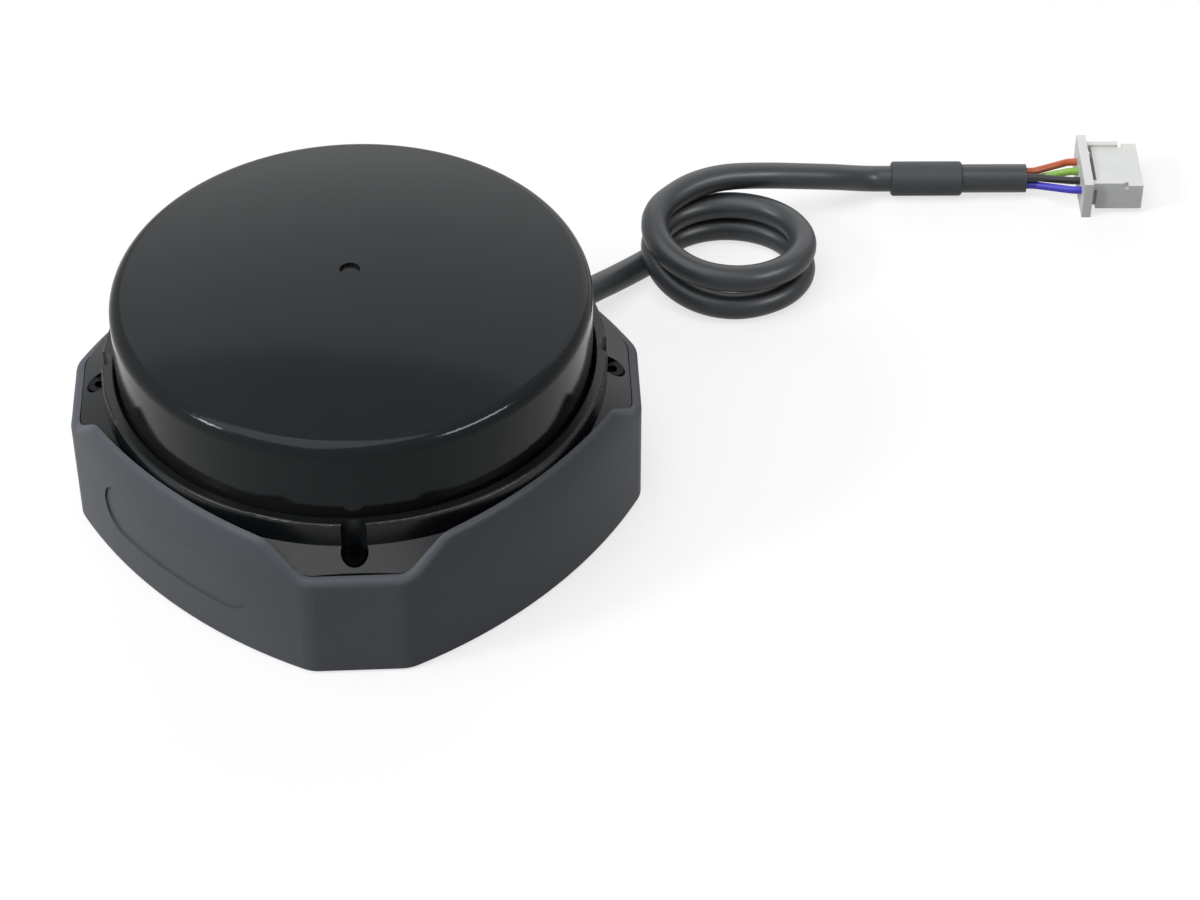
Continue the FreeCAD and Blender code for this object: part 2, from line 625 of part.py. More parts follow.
def motor_base():
    """Flanged tube that holds both bearings and carries the stator."""
    flange_top = floor_top + MOTOR_FLANGE_THICKNESS
    shoulder = bearing_seat_radius - BEARING_SHOULDER
    seat_radius = bearing_tube_radius + STATOR_SEAT_STEP
    tube = revolve([
        (bearing_seat_radius, floor_top), (MOTOR_FLANGE_RADIUS, floor_top),
        (MOTOR_FLANGE_RADIUS, flange_top), (seat_radius, flange_top),
        (seat_radius, stator_low), (bearing_tube_radius, stator_low),
        (bearing_tube_radius, upper_bearing_high), (bearing_seat_radius, upper_bearing_high),
        (bearing_seat_radius, upper_bearing_low), (shoulder, upper_bearing_low),
        (shoulder, lower_bearing_high), (bearing_seat_radius, lower_bearing_high)])
    for x, y in spots(motor_screw_reach(), MOTOR_SCREW_ANGLES):
        tube = tube.cut(clear_hole(floor_top, flange_top, x, y))
    return tube


def motor_screws():
    """Screws that hold the motor base to the floor."""
    flange_top = floor_top + MOTOR_FLANGE_THICKNESS
    screw = small_screw(flange_top, MOTOR_FLANGE_THICKNESS + SMALL_SCREW_GRIP)
    return group_at(screw, spots(motor_screw_reach(), MOTOR_SCREW_ANGLES))


def bearing(low):
    """Shielded ball bearing: both races and the sunk shields between them."""
    high = low + BEARING_WIDTH
    bore = SHAFT_RADIUS + RUNNING_CLEARANCE
    inner_race = bore + BEARING_RACE_WIDTH
    outer_race = BEARING_RADIUS - BEARING_RACE_WIDTH
    sunk_low = low + BEARING_SHIELD_DEPTH
    sunk_high = high - BEARING_SHIELD_DEPTH
    return revolve([
        (bore, low), (inner_race, low), (inner_race, sunk_low), (outer_race, sunk_low), (outer_race, low),
        (BEARING_RADIUS, low), (BEARING_RADIUS, high), (outer_race, high), (outer_race, sunk_high),
        (inner_race, sunk_high), (inner_race, high), (bore, high)])


def stator_core():
    """Laminated core with T-shaped teeth."""
    inner = bearing_tube_radius + SEAT_GAP
    core = ring(inner, inner + STATOR_YOKE, stator_low, stator_high)
    shoe_inner = STATOR_RADIUS - TOOTH_SHOE_THICKNESS
    shoe = Part.makeCylinder(STATOR_RADIUS, STATOR_HEIGHT, V(0, 0, stator_low), UP, TOOTH_SHOE_SPAN)
    shoe = shoe.cut(disc(shoe_inner, stator_low, stator_high))
    shoe = turned(shoe, -TOOTH_SHOE_SPAN / 2)
    half = TOOTH_WIDTH / 2
    stem_end = (shoe_inner + STATOR_RADIUS) / 2
    stem = block((inner + STATOR_YOKE / 2, stem_end), (-half, half), (stator_low, stator_high))
    tooth = stem.fuse(shoe)
    for angle in even_angles(STATOR_TEETH):
        core = core.fuse(turned(tooth, angle))
    return core.removeSplitter()


def stator_windings():
    """Copper coil round each tooth."""
    near = bearing_tube_radius + SEAT_GAP + STATOR_YOKE + 2 * SEAT_GAP
    inner_half = TOOTH_WIDTH / 2 + SEAT_GAP
    outer_half = inner_half + WINDING_BUILD
    shoe_inner = STATOR_RADIUS - TOOTH_SHOE_THICKNESS
    far = math.sqrt(shoe_inner ** 2 - outer_half ** 2) - 2 * SEAT_GAP
    low = stator_low - SEAT_GAP
    high = stator_high + SEAT_GAP
    coil = block((near, far), (-outer_half, outer_half), (low - WINDING_BUILD, high + WINDING_BUILD))
    long_edges = [edge for edge in coil.Edges if edge.BoundBox.XLength > (far - near) / 2]
    coil = coil.makeFillet(WINDING_BUILD * SOCKET_SHARE, long_edges)
    coil = coil.cut(block((near, far), (-inner_half, inner_half), (low, high)))
    return Part.makeCompound([turned(coil, angle) for angle in even_angles(STATOR_TEETH)])


def main_board():
    """Round circuit board with a hole for the motor."""
    hole = bearing_tube_radius + STATOR_SEAT_STEP + MAIN_BOARD_HOLE_GAP
    board = ring(hole, main_board_radius, board_low, board_top)
    for x, y in spots(board_screw_reach, CORNER_ANGLES):
        board = board.cut(clear_hole(board_low, board_top, x, y))
    return board


def board_screws():
    """Screws that hold the main board to its standoffs."""
    screw = small_screw(board_top, BOARD_THICKNESS + SMALL_SCREW_GRIP)
    return group_at(screw, spots(board_screw_reach, CORNER_ANGLES))


def power_coil(low, high):
    """Flat wound ring of the contactless power link."""
    coil = ring(coil_inner, coil_outer, low, high)
    corner = min(COIL_CORNER, (coil_outer - coil_inner) * COIL_CORNER_LIMIT)
    return coil.makeChamfer(corner, [edge for edge in coil.Edges if edge.Closed])


def encoder_sensor():
    """Forked light barrier that the encoder ring runs through."""
    half = SENSOR_WIDTH / 2
    slot_inner = math.sqrt(encoder_inner ** 2 - half ** 2) - SENSOR_SLOT_GAP
    slot_outer = encoder_radius + SENSOR_SLOT_GAP
    arm_top = encoder_low + SENSOR_REACH_UP
    body = block((slot_inner - SENSOR_ARM, slot_outer + SENSOR_ARM), (-half, half), (board_top, arm_top))
    slot_floor = encoder_low - SENSOR_SLOT_GAP
    return body.cut(block((slot_inner, slot_outer), (-half, half), (slot_floor, arm_top)))


def board_socket():
    """Low socket for the lead, at the board's edge."""
    half = SOCKET_WIDTH / 2
    rear = math.sqrt(main_board_radius ** 2 - half ** 2)
    return block((-half, half), (rear - SOCKET_DEPTH, rear), (board_top, board_top + SOCKET_HEIGHT))


def tube_along(points, radius, label=None):
    """Round tube along straight runs joined by arcs as large as the runs allow."""
    edges = []
    start = points[0]
    radii = []
    for before, corner, after in zip(points, points[1:], points[2:]):
        run_in = (corner - before).normalize()
        run_out = (after - corner).normalize()
        half_turn = run_in.getAngle(run_out) / 2
        reach = TURN_SHARE * min(corner.distanceToPoint(before), corner.distanceToPoint(after))
        bend = reach / math.tan(half_turn)
        inward = (run_out - run_in).normalize()
        middle = corner + inward * (bend / math.cos(half_turn) - bend)
        arc_start = corner - run_in * reach
        arc_end = corner + run_out * reach
        edges.append(Part.LineSegment(start, arc_start).toShape())
        edges.append(Part.Arc(arc_start, middle, arc_end).toShape())
        start = arc_end
        radii.append(bend)
    edges.append(Part.LineSegment(start, points[-1]).toShape())
    path = Part.Wire(edges)
    section = Part.Wire(Part.makeCircle(radius, points[0], points[1] - points[0]))
    tube = path.makePipeShell([section], True, False)
    if label:
        straight = path.Length * math.pi * radius ** 2
        print(label, "length", round(path.Length, 2), "radii", [round(bend, 1) for bend in radii],
              "volume over section times length", round(tube.Volume / straight, 4))
    return tube


def inner_leads():
    """Four thin leads from the grommet's inner face to the board's socket."""
    half = SOCKET_WIDTH / 2
    socket_rear = math.sqrt(main_board_radius ** 2 - half ** 2)
    end_height = board_top + SOCKET_HEIGHT / 2
    straight = V(0, INNER_LEAD_STRAIGHT, 0)
    leads = []
    for index in range(PLUG_WAYS):
        column = index - (PLUG_WAYS - 1) / 2
        side = math.copysign(INNER_LEAD_BUNDLE, column)
        row = INNER_LEAD_BUNDLE if index in (0, PLUG_WAYS - 1) else -INNER_LEAD_BUNDLE
        start = V(side, cavity_radius, CABLE_EXIT_HEIGHT + row)
        end = V(column * INNER_LEAD_PITCH, socket_rear, end_height)
        leads.append(tube_along([start, start - straight, end + straight, end], INNER_LEAD_RADIUS))
    return Part.makeCompound(leads)


def data_link_receiver():
    """Receiver of the optical data link, on the floor under the hollow shaft."""
    return disc(LINK_RADIUS, floor_top, floor_top + LINK_HEIGHT)


def rotor_shaft():
    """Hollow shaft with a clip groove at its foot."""
    groove_floor = SHAFT_RADIUS - CLIP_GROOVE_DEPTH
    groove = ring(groove_floor, SHAFT_RADIUS + CUT_MARGIN, clip_low - SEAT_GAP, clip_high)
    return ring(SHAFT_BORE_RADIUS, SHAFT_RADIUS, shaft_low, hat_top).cut(groove)


def shaft_clip():
    """Open retaining clip under the lower bearing."""
    inner = SHAFT_RADIUS - CLIP_GROOVE_DEPTH + SEAT_GAP
    outer = inner + CLIP_WIDTH
    half = CLIP_OPENING / 2
    return ring(inner, outer, clip_low, clip_high).cut(
        block((0, outer), (-half, half), (clip_low, clip_high)))


def motor_bell():
    """Cup that carries the magnets and turns with the shaft."""
    bore = SHAFT_RADIUS + SEAT_GAP
    hub_low = upper_bearing_high + BELL_HUB_GAP
    bell = revolve([
        (bore, hub_low), (BELL_HUB_RADIUS, hub_low), (BELL_HUB_RADIUS, bell_top_low),
        (bell_inner, bell_top_low), (bell_inner, bell_low), (bell_outer, bell_low),
        (bell_outer, bell_top), (bore, bell_top)])
    for x, y in spots(deck_screw_reach(), DECK_SCREW_ANGLES):
        bell = bell.cut(clear_hole(bell_top_low, bell_top, x, y))
    return bell


def deck_screw_reach():
    """Distance of the deck's screws from the axis, midway across the bell's top."""
    return (BELL_HUB_RADIUS + bell_inner) / 2


def magnet_ring():
    """Ring magnet inside the bell."""
    return ring(magnet_inner, magnet_outer, stator_low - MAGNET_OVERHANG, stator_high + MAGNET_OVERHANG)


def rotor_deck():
    """Stepped carrier: a hat that sits on the bell and a round deck about it."""
    bore = SHAFT_RADIUS + SEAT_GAP
    deck = revolve([
        (bore, bell_top), (hat_inner, bell_top), (hat_inner, deck_low), (deck_radius, deck_low),
        (deck_radius, deck_top), (hat_outer, deck_top), (hat_outer, hat_top), (bore, hat_top)])
    head_seat = hat_top - SMALL_HEAD_HEIGHT
    for x, y in spots(deck_screw_reach(), DECK_SCREW_ANGLES):
        deck = deck.cut(disc(SMALL_HEAD_RADIUS + SEAT_GAP, head_seat, hat_top, x, y))
        deck = deck.cut(clear_hole(bell_top, head_seat, x, y))
    for x, y in optics_screw_places():
        deck = deck.cut(thread_hole(hat_top, x, y))
    for x, y in spots(rotor_screw_reach(), ROTOR_BOARD_SCREW_ANGLES):
        deck = deck.cut(thread_hole(deck_top, x, y))
    return deck


def deck_screws():
    """Flush screws that hold the deck to the bell."""
    seat = hat_top - SMALL_HEAD_HEIGHT
    screw = small_screw(seat, seat - bell_top_low)
    return group_at(screw, spots(deck_screw_reach(), DECK_SCREW_ANGLES))


def rotor_screw_reach():
    """Distance of the rotor board's screws from the axis, outside the encoder ring."""
    return rotor_board_radius - 2 * SMALL_HEAD_RADIUS


def rotor_board():
    """Ring-shaped circuit board on the deck."""
    board = ring(hat_outer + ROTOR_BOARD_GAP, rotor_board_radius, deck_top, rotor_board_top)
    for x, y in spots(rotor_screw_reach(), ROTOR_BOARD_SCREW_ANGLES):
        board = board.cut(clear_hole(deck_top, rotor_board_top, x, y))
    return board


def rotor_board_screws():
    """Screws that hold the rotor board to the deck."""
    screw = small_screw(rotor_board_top, ROTOR_BOARD_THICKNESS + SMALL_SCREW_GRIP)
    return group_at(screw, spots(rotor_screw_reach(), ROTOR_BOARD_SCREW_ANGLES))


def encoder_ring():
    """Comb-toothed skirt under the deck."""
    skirt = ring(encoder_inner, encoder_radius, encoder_low, deck_low)
    half = math.pi * encoder_radius / ENCODER_TEETH * ENCODER_SLOT_SHARE
    slot = block((encoder_inner - CUT_MARGIN, encoder_radius + CUT_MARGIN), (-half, half),
                 (encoder_low, encoder_low + ENCODER_SLOT_HEIGHT))
    return skirt.cut(Part.makeCompound([turned(slot, angle) for angle in even_angles(ENCODER_TEETH)]))


def counterweight():
    """Crescent weight that balances the optics, on the rotor board."""
    outer = rotor_board_radius - COUNTERWEIGHT_INSET
    inner = hat_outer + COUNTERWEIGHT_HAT_GAP
    foot = V(0, 0, rotor_board_top)
    wedge = Part.makeCylinder(outer, COUNTERWEIGHT_HEIGHT, foot, UP, COUNTERWEIGHT_SPAN)
    wedge = wedge.cut(disc(inner, rotor_board_top, rotor_board_top + COUNTERWEIGHT_HEIGHT))
    return turned(wedge, COUNTERWEIGHT_HEADING - COUNTERWEIGHT_SPAN / 2)


def data_link_emitter():
    """Light source of the data link, in the top of the hollow shaft."""
    return disc(SHAFT_BORE_RADIUS - SEAT_GAP, hat_top - LINK_EMITTER_LENGTH, hat_top)


def optics_screw_places():
    """Where the optics frame is screwed to the deck's hat."""
    across = OPTICS_HALF_WIDTH - 2 * SMALL_HEAD_RADIUS
    along = OPTICS_PLATE_REAR - 2 * SMALL_HEAD_RADIUS
    return [(x, y) for x in (-across, across) for y in (-along, along)]


def optics_frame():
    """Moulded frame with the two lens barrels, their webs and the plate for the sensor board."""
    half = OPTICS_HALF_WIDTH
    plate_front = OPTICS_FRONT + BARREL_WALL
    plate = block((-half, half), (plate_front, OPTICS_PLATE_REAR), (hat_top, optics_plate_top))
    frame = plate.common(disc(cap_inner - TURN_GAP - CUT_MARGIN, hat_top, optics_plate_top))
    back = block((EMITTER_X - SENSOR_BOARD_SIDE, RECEIVER_X + SENSOR_BOARD_SIDE),
                 (OPTICS_BACK_PLATE_FRONT, back_plate_rear), (hat_top, optics_axis + sensor_half_height))
    frame = frame.fuse(back)
    length = OPTICS_BACK_PLATE_FRONT - OPTICS_FRONT
    for x, lens_radius in ((EMITTER_X, EMITTER_LENS_RADIUS), (RECEIVER_X, receiver_lens_radius)):
        barrel = disc(lens_radius + SEAT_GAP + BARREL_WALL, 0, length)
        frame = frame.fuse(along_y(barrel, x, OPTICS_FRONT, optics_axis))
        web = block((x - OPTICS_WEB / 2, x + OPTICS_WEB / 2),
                    (OPTICS_FRONT + BARREL_WALL, OPTICS_BACK_PLATE_FRONT), (hat_top, optics_axis))
        frame = frame.fuse(web)
    seat_depth = RETAINER_LENGTH + LENS_EDGE
    for x, lens_radius, back_hole in (
            (EMITTER_X, EMITTER_LENS_RADIUS, LASER_FLANGE_RADIUS + BACK_HOLE_GAP),
            (RECEIVER_X, receiver_lens_radius, DETECTOR_SIZE / math.sqrt(2) + BACK_HOLE_GAP)):
        seat = disc(lens_radius + SEAT_GAP, 0, seat_depth)
        frame = frame.cut(along_y(seat, x, OPTICS_FRONT, optics_axis))
        bore = disc(lens_radius - LENS_SEAT_STEP, 0, length)
        frame = frame.cut(along_y(bore, x, OPTICS_FRONT, optics_axis))
        hole = disc(back_hole, 0, OPTICS_BACK_PLATE)
        frame = frame.cut(along_y(hole, x, OPTICS_BACK_PLATE_FRONT, optics_axis))
    for x, y in optics_screw_places():
        frame = frame.cut(clear_hole(hat_top, optics_plate_top, x, y))
    for x, z in sensor_screw_places():
        hole = disc(SMALL_SCREW_RADIUS + SEAT_GAP, 0, SMALL_SCREW_GRIP + SEAT_GAP)
        frame = frame.cut(along_y(hole, x, back_plate_rear - SMALL_SCREW_GRIP - SEAT_GAP, z))
    return frame.removeSplitter()


def optics_screws():
    """Screws that hold the optics frame to the deck."""
    screw = small_screw(optics_plate_top, OPTICS_PLATE_THICKNESS + SMALL_SCREW_GRIP)
    return group_at(screw, optics_screw_places())


def lens(x, radius):
    """Plano-convex lens, its bulge towards the front."""
    seat_front = OPTICS_FRONT + RETAINER_LENGTH
    sphere_radius = (radius ** 2 + LENS_BULGE ** 2) / (2 * LENS_BULGE)
    edge = disc(radius, 0, LENS_EDGE)
    sphere = Part.makeSphere(sphere_radius, V(0, 0, sphere_radius - LENS_BULGE))
    bulge = disc(radius, -LENS_BULGE, 0).common(sphere)
    return along_y(edge.fuse(bulge).removeSplitter(), x, seat_front, optics_axis)


def lens_retainers():
    """Threaded rings that hold the lenses in their barrels."""
    rings = []
    for x, radius in ((EMITTER_X, EMITTER_LENS_RADIUS), (RECEIVER_X, receiver_lens_radius)):
        sphere_radius = (radius ** 2 + LENS_BULGE ** 2) / (2 * LENS_BULGE)
        middle = V(0, 0, RETAINER_LENGTH + sphere_radius - LENS_BULGE)
        bulge = Part.makeSphere(sphere_radius + SEAT_GAP, middle)
        retainer = ring(radius - LENS_SEAT_STEP, radius, 0, RETAINER_LENGTH).cut(bulge)
        rings.append(along_y(retainer, x, OPTICS_FRONT, optics_axis))
    return Part.makeCompound(rings)


def sensor_screw_places():
    """Where the sensor board is screwed to the back plate, between the two barrels."""
    emitter_edge = EMITTER_X + EMITTER_LENS_RADIUS + BARREL_WALL
    receiver_edge = RECEIVER_X - receiver_lens_radius - BARREL_WALL
    across = (emitter_edge + receiver_edge) / 2
    up = sensor_half_height - SMALL_HEAD_RADIUS
    return [(across, optics_axis - up), (across, optics_axis + up)]


def sensor_board():
    """Upright circuit board behind the optics, with the laser and the detector on it."""
    board = block((EMITTER_X - SENSOR_BOARD_SIDE, RECEIVER_X + SENSOR_BOARD_SIDE),
                  (back_plate_rear, back_plate_rear + SENSOR_BOARD_THICKNESS),
                  (optics_axis - sensor_half_height, optics_axis + sensor_half_height))
    for x, z in sensor_screw_places():
        hole = disc(SMALL_SCREW_RADIUS + SEAT_GAP, 0, SENSOR_BOARD_THICKNESS)
        board = board.cut(along_y(hole, x, back_plate_rear, z))
    return board


def sensor_board_screws():
    """Screws that hold the sensor board."""
    screws = []
    for x, z in sensor_screw_places():
        screw = small_screw(0, SENSOR_BOARD_THICKNESS + SMALL_SCREW_GRIP)
        screws.append(along_y(screw, x, back_plate_rear + SENSOR_BOARD_THICKNESS, z))
    return Part.makeCompound(screws)


def laser_diode():
    """Metal-can laser on the sensor board, looking through the emitter's barrel."""
    can = disc(LASER_FLANGE_RADIUS, -LASER_FLANGE, 0)
    can = can.fuse(disc(LASER_CAN_RADIUS, -LASER_FLANGE - LASER_CAN_LENGTH, -LASER_FLANGE))
    return along_y(can, EMITTER_X, back_plate_rear, optics_axis)


def light_detector():
    """Square detector on the sensor board, behind the receiver's lens."""
    half = DETECTOR_SIZE / 2
    front = back_plate_rear - DETECTOR_THICKNESS
    return block((RECEIVER_X - half, RECEIVER_X + half), (front, back_plate_rear),
                 (optics_axis - half, optics_axis + half))


def cable_grommet():
    """Rubber grommet through the rear wall, with a short tapered boot."""
    wall_face = SIDE_HALF_WIDTH - cavity_radius
    flange_face = wall_face + GROMMET_FLANGE
    boot_end = flange_face + BOOT_LENGTH
    grommet = revolve([
        (0, 0), (GROMMET_RADIUS, 0), (GROMMET_RADIUS, wall_face), (GROMMET_FLANGE_RADIUS, wall_face),
        (GROMMET_FLANGE_RADIUS, flange_face), (GROMMET_RADIUS, flange_face), (BOOT_TIP_RADIUS, boot_end),
        (0, boot_end)])
    return along_y(grommet, 0, cavity_radius, CABLE_EXIT_HEIGHT)


def oval_prism(half_length, half_width, height):
    """Upright block with an elliptical plan, its long axis along X."""
    rim = Part.Ellipse(ORIGIN, half_length, half_width).toShape()
    return Part.Face(Part.Wire(rim)).extrude(V(0, 0, height))


def cable_coil():
    """Outer form of the wound turns."""
    half_length = TURNS_HALF_LENGTH
    half_width = TURNS_HALF_WIDTH
    outside = oval_prism(half_length + CABLE_RADIUS, half_width + CABLE_RADIUS, TURNS_STACK_HEIGHT)
    inside = oval_prism(half_length - CABLE_RADIUS, half_width - CABLE_RADIUS, TURNS_STACK_HEIGHT)
    coil = turned(outside.cut(inside), TURNS_HEADING)
    coil.translate(V(TURNS_CENTRE[0], boot_tip + TURNS_CENTRE[1], 0))
    return coil


def end_frame(shape, distance, height):
    """Move a solid built along +X into the line of the lead's end, past the end of the tail."""
    shape.rotate(ORIGIN, UP, math.degrees(END_HEADING))
    start = tail_route[-1] + end_along * distance
    shape.translate(V(start.x, start.y, height))
    return shape


def rod_along_x(radius, length):
    """Round bar along +X from the origin."""
    return Part.makeCylinder(radius, length, ORIGIN, V(1, 0, 0))


def heat_shrink_sleeve():
    """Shrunk sleeve over the end of the lead."""
    sleeve = rod_along_x(SLEEVE_RADIUS, SLEEVE_LENGTH)
    sleeve = sleeve.makeFillet(SLEEVE_RADIUS - SHEATH_RADIUS, [edge for edge in sleeve.Edges if edge.Closed])
    return end_frame(sleeve, 0, tail_route[-1].z)


def sheath_end():
    """Last stretch of outer sheath, between the sleeve and the separate wires."""
    return end_frame(rod_along_x(SHEATH_RADIUS, SHEATH_LENGTH), SLEEVE_LENGTH, tail_route[-1].z)


def plug_wire(index):
    """One of the separate wires, from the sheath to its way in the plug."""
    column = index - (PLUG_WAYS - 1) / 2
    lead_end = tail_route[-1] + end_along * (SLEEVE_LENGTH + SHEATH_LENGTH)
    side = math.copysign(WIRE_BUNDLE, column)
    row = WIRE_BUNDLE if index % 2 else -WIRE_BUNDLE
    start = lead_end + end_across * side + V(0, 0, row)
    end = lead_end + end_along * WIRE_LENGTH + end_across * (column * PLUG_PITCH)
    end.z = PLUG_THICKNESS / 2
    straight = end_along * WIRE_STRAIGHT
    return tube_along([start, start + straight, end - straight, end], WIRE_RADIUS)


def way_columns():
    """Sideways places of the plug's ways, about its middle."""
    return [(index - (PLUG_WAYS - 1) / 2) * PLUG_PITCH for index in range(PLUG_WAYS)]


def plug_housing():
    """Four-way plug lying flat: flanged back with slots behind it, two short ribs and the contact ways."""
    half_width = PLUG_WIDTH / 2
    core_half = half_width - PLUG_FLANGE_STEP
    rib_inner = core_half - PLUG_RIB_WIDTH
    slot_inner = core_half - PLUG_SIDE_SLOT_DEPTH
    low = PLUG_FLANGE_STEP
    high = PLUG_THICKNESS - PLUG_FLANGE_STEP
    middle = PLUG_THICKNESS / 2
    slot = (PLUG_FLANGE, PLUG_FLANGE + PLUG_SLOT_LENGTH)
    rib_end = PLUG_FLANGE + PLUG_RIB_LENGTH
    body = block((0, PLUG_FLANGE), (-half_width, half_width), (0, PLUG_THICKNESS))
    body = body.fuse(block((0, PLUG_LENGTH), (-core_half, core_half), (low, high)))
    for side in (-core_half, rib_inner):
        across = (side, side + PLUG_RIB_WIDTH)
        body = body.fuse(block((0, rib_end), across, (low, high + PLUG_RIB_RISE)))
        body = body.cut(block((rib_end, rib_end + PLUG_NOTCH), across, (high - PLUG_NOTCH, high)))
    body = body.removeSplitter()
    body = body.cut(block(slot, (-rib_inner, rib_inner), (high - PLUG_SLOT_DEPTH, high)))
    for side in (-core_half, slot_inner):
        body = body.cut(block(slot, (side, side + PLUG_SIDE_SLOT_DEPTH), (low, high - PLUG_RIB_WIDTH)))
    half_way = PLUG_CAVITY / 2
    for column in way_columns():
        across = (column - half_way, column + half_way)
        body = body.cut(block((PLUG_LENGTH - PLUG_CAVITY_DEPTH, PLUG_LENGTH), across,
                              (middle - half_way, middle + half_way)))
        wire_hole = rod_along_x(WIRE_RADIUS + SEAT_GAP, PLUG_LENGTH - PLUG_CAVITY_DEPTH)
        wire_hole.translate(V(0, column, middle))
        body = body.cut(wire_hole)
    return end_frame(body, SLEEVE_LENGTH + SHEATH_LENGTH + WIRE_LENGTH, 0)


def plug_contacts():
    """Crimped contacts in the plug's ways."""
    half = CONTACT_SIZE / 2
    middle = PLUG_THICKNESS / 2
    back = PLUG_LENGTH - PLUG_CAVITY_DEPTH
    contacts = []
    for column in way_columns():
        contact = block((back, back + CONTACT_LENGTH), (column - half, column + half),
                        (middle - PLUG_CAVITY / 2, middle - PLUG_CAVITY / 2 + CONTACT_SIZE))
        contacts.append(end_frame(contact, SLEEVE_LENGTH + SHEATH_LENGTH + WIRE_LENGTH, 0))
    return Part.makeCompound(contacts)


PIECES = {
    "base_housing": base_housing(),
    "window_cap": window_cap(),
    "cap_seal": cap_seal(),
    "clamp_ring": clamp_ring(),
    "cap_screws": cap_screws(),
    "motor_base": motor_base(),
    "motor_screws": motor_screws(),
    "lower_bearing": bearing(lower_bearing_low),
    "upper_bearing": bearing(upper_bearing_low),
    "stator_core": stator_core(),
    "stator_windings": stator_windings(),
    "main_board": main_board(),
    "board_screws": board_screws(),
    "board_socket": board_socket(),
    "inner_leads": inner_leads(),
    "power_coil_fixed": power_coil(board_top, fixed_coil_top),
    "encoder_sensor": encoder_sensor(),
    "data_link_receiver": data_link_receiver(),
    "rotor_shaft": rotor_shaft(),
    "shaft_clip": shaft_clip(),
    "motor_bell": motor_bell(),
    "magnet_ring": magnet_ring(),
    "rotor_deck": rotor_deck(),
    "deck_screws": deck_screws(),
    "rotor_board": rotor_board(),
    "rotor_board_screws": rotor_board_screws(),
    "power_coil_turning": power_coil(deck_low - TURNING_COIL_HEIGHT, deck_low),
    "encoder_ring": encoder_ring(),
    "counterweight": counterweight(),
    "data_link_emitter": data_link_emitter(),
    "optics_frame": optics_frame(),
    "optics_screws": optics_screws(),
    "emitter_lens": lens(EMITTER_X, EMITTER_LENS_RADIUS),
    "receiver_lens": lens(RECEIVER_X, receiver_lens_radius),
    "lens_retainers": lens_retainers(),
    "sensor_board": sensor_board(),
    "sensor_board_screws": sensor_board_screws(),
    "laser_diode": laser_diode(),
    "light_detector": light_detector(),
    "cable_grommet": cable_grommet(),
    "cable_lead": tube_along(lead_route, CABLE_RADIUS, "cable_lead"),
    "cable_coil": cable_coil(),
    "cable_tail": tube_along(tail_route, CABLE_RADIUS, "cable_tail"),
    "heat_shrink_sleeve": heat_shrink_sleeve(),
    "sheath_end": sheath_end(),
    "wire_blue": plug_wire(0),
    "wire_black": plug_wire(1),
    "wire_green": plug_wire(2),
    "wire_orange": plug_wire(3),
    "plug_housing": plug_housing(),
    "plug_contacts": plug_contacts(),
}

os.makedirs("parts", exist_ok=True)
for name, shape in PIECES.items():
    shape.exportStep(os.path.join("parts", name + ".step"))
    print(name, "solids", len(shape.Solids), "volume", round(shape.Volume, 2), "valid", shape.isValid())
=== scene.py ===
# %% [markdown]
# # An enclosed scanning lidar
# The device is a low square base with a round window cap on top. A laser and a detector spin under the
# cap, and a short lead comes out of the rear wall. The solids were made in CAD, so Blender's work is the
# soft lead, the finishes, the light and the camera. Everything is in metres, and +Z is up.

# %% Load the solids
import bpy
import math
import numpy as np
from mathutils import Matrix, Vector


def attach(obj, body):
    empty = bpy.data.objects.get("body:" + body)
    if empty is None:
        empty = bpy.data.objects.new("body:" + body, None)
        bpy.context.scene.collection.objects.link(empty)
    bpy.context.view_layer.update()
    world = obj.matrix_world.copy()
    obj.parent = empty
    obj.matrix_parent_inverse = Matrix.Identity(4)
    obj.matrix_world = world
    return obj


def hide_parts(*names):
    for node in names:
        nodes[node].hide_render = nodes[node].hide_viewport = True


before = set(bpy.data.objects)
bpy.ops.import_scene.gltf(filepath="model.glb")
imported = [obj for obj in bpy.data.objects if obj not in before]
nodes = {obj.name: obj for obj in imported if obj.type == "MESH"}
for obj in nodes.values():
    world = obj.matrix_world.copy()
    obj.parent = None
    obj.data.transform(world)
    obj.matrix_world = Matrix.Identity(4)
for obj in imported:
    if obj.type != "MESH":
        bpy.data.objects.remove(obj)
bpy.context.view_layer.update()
MM = 0.001

# %% [markdown]
# ## The camera
# The picture was taken with a long lens from above one corner, so parallel edges stay almost parallel. A
# camera could be placed by eye; here its place and direction were solved from the outlines of the cap and
# the base, so that the render can be laid over the picture.

# %% Camera
# Lens and sensor are in millimetres, as photographers give them. The nearest distance seen is in metres.
CAMERA_PLACE = Vector((284.06, -257.99, 354.15)) * MM
CAMERA_AIM = Vector((-0.4974, 0.5450, -0.6749))
SENSOR_WIDTH = 36.0
LENS_LENGTH = 103.3
NEAREST_SEEN = 0.01
camera_data = bpy.data.cameras.new("corner_view")
camera_data.sensor_width = SENSOR_WIDTH
camera_data.lens = LENS_LENGTH
camera_data.clip_start = NEAREST_SEEN
camera = bpy.data.objects.new("corner_view", camera_data)
camera.location = CAMERA_PLACE
camera.rotation_euler = CAMERA_AIM.to_track_quat("-Z", "Y").to_euler()
bpy.context.scene.collection.objects.link(camera)
bpy.context.scene.camera = camera
print("lens", camera_data.lens, "mm, distance", round(CAMERA_PLACE.length, 3), "m")

# %% [markdown]
# ## The lead
# The lead is one length of round cable: straight out of its boot, down to the table, twice round in a
# loose oval, and off to the plug. A mesh tube could be swept by hand, but a curve with a round bevel keeps
# the thickness exact. Its line is a NURBS spline, which flows past its points instead of bending at them.

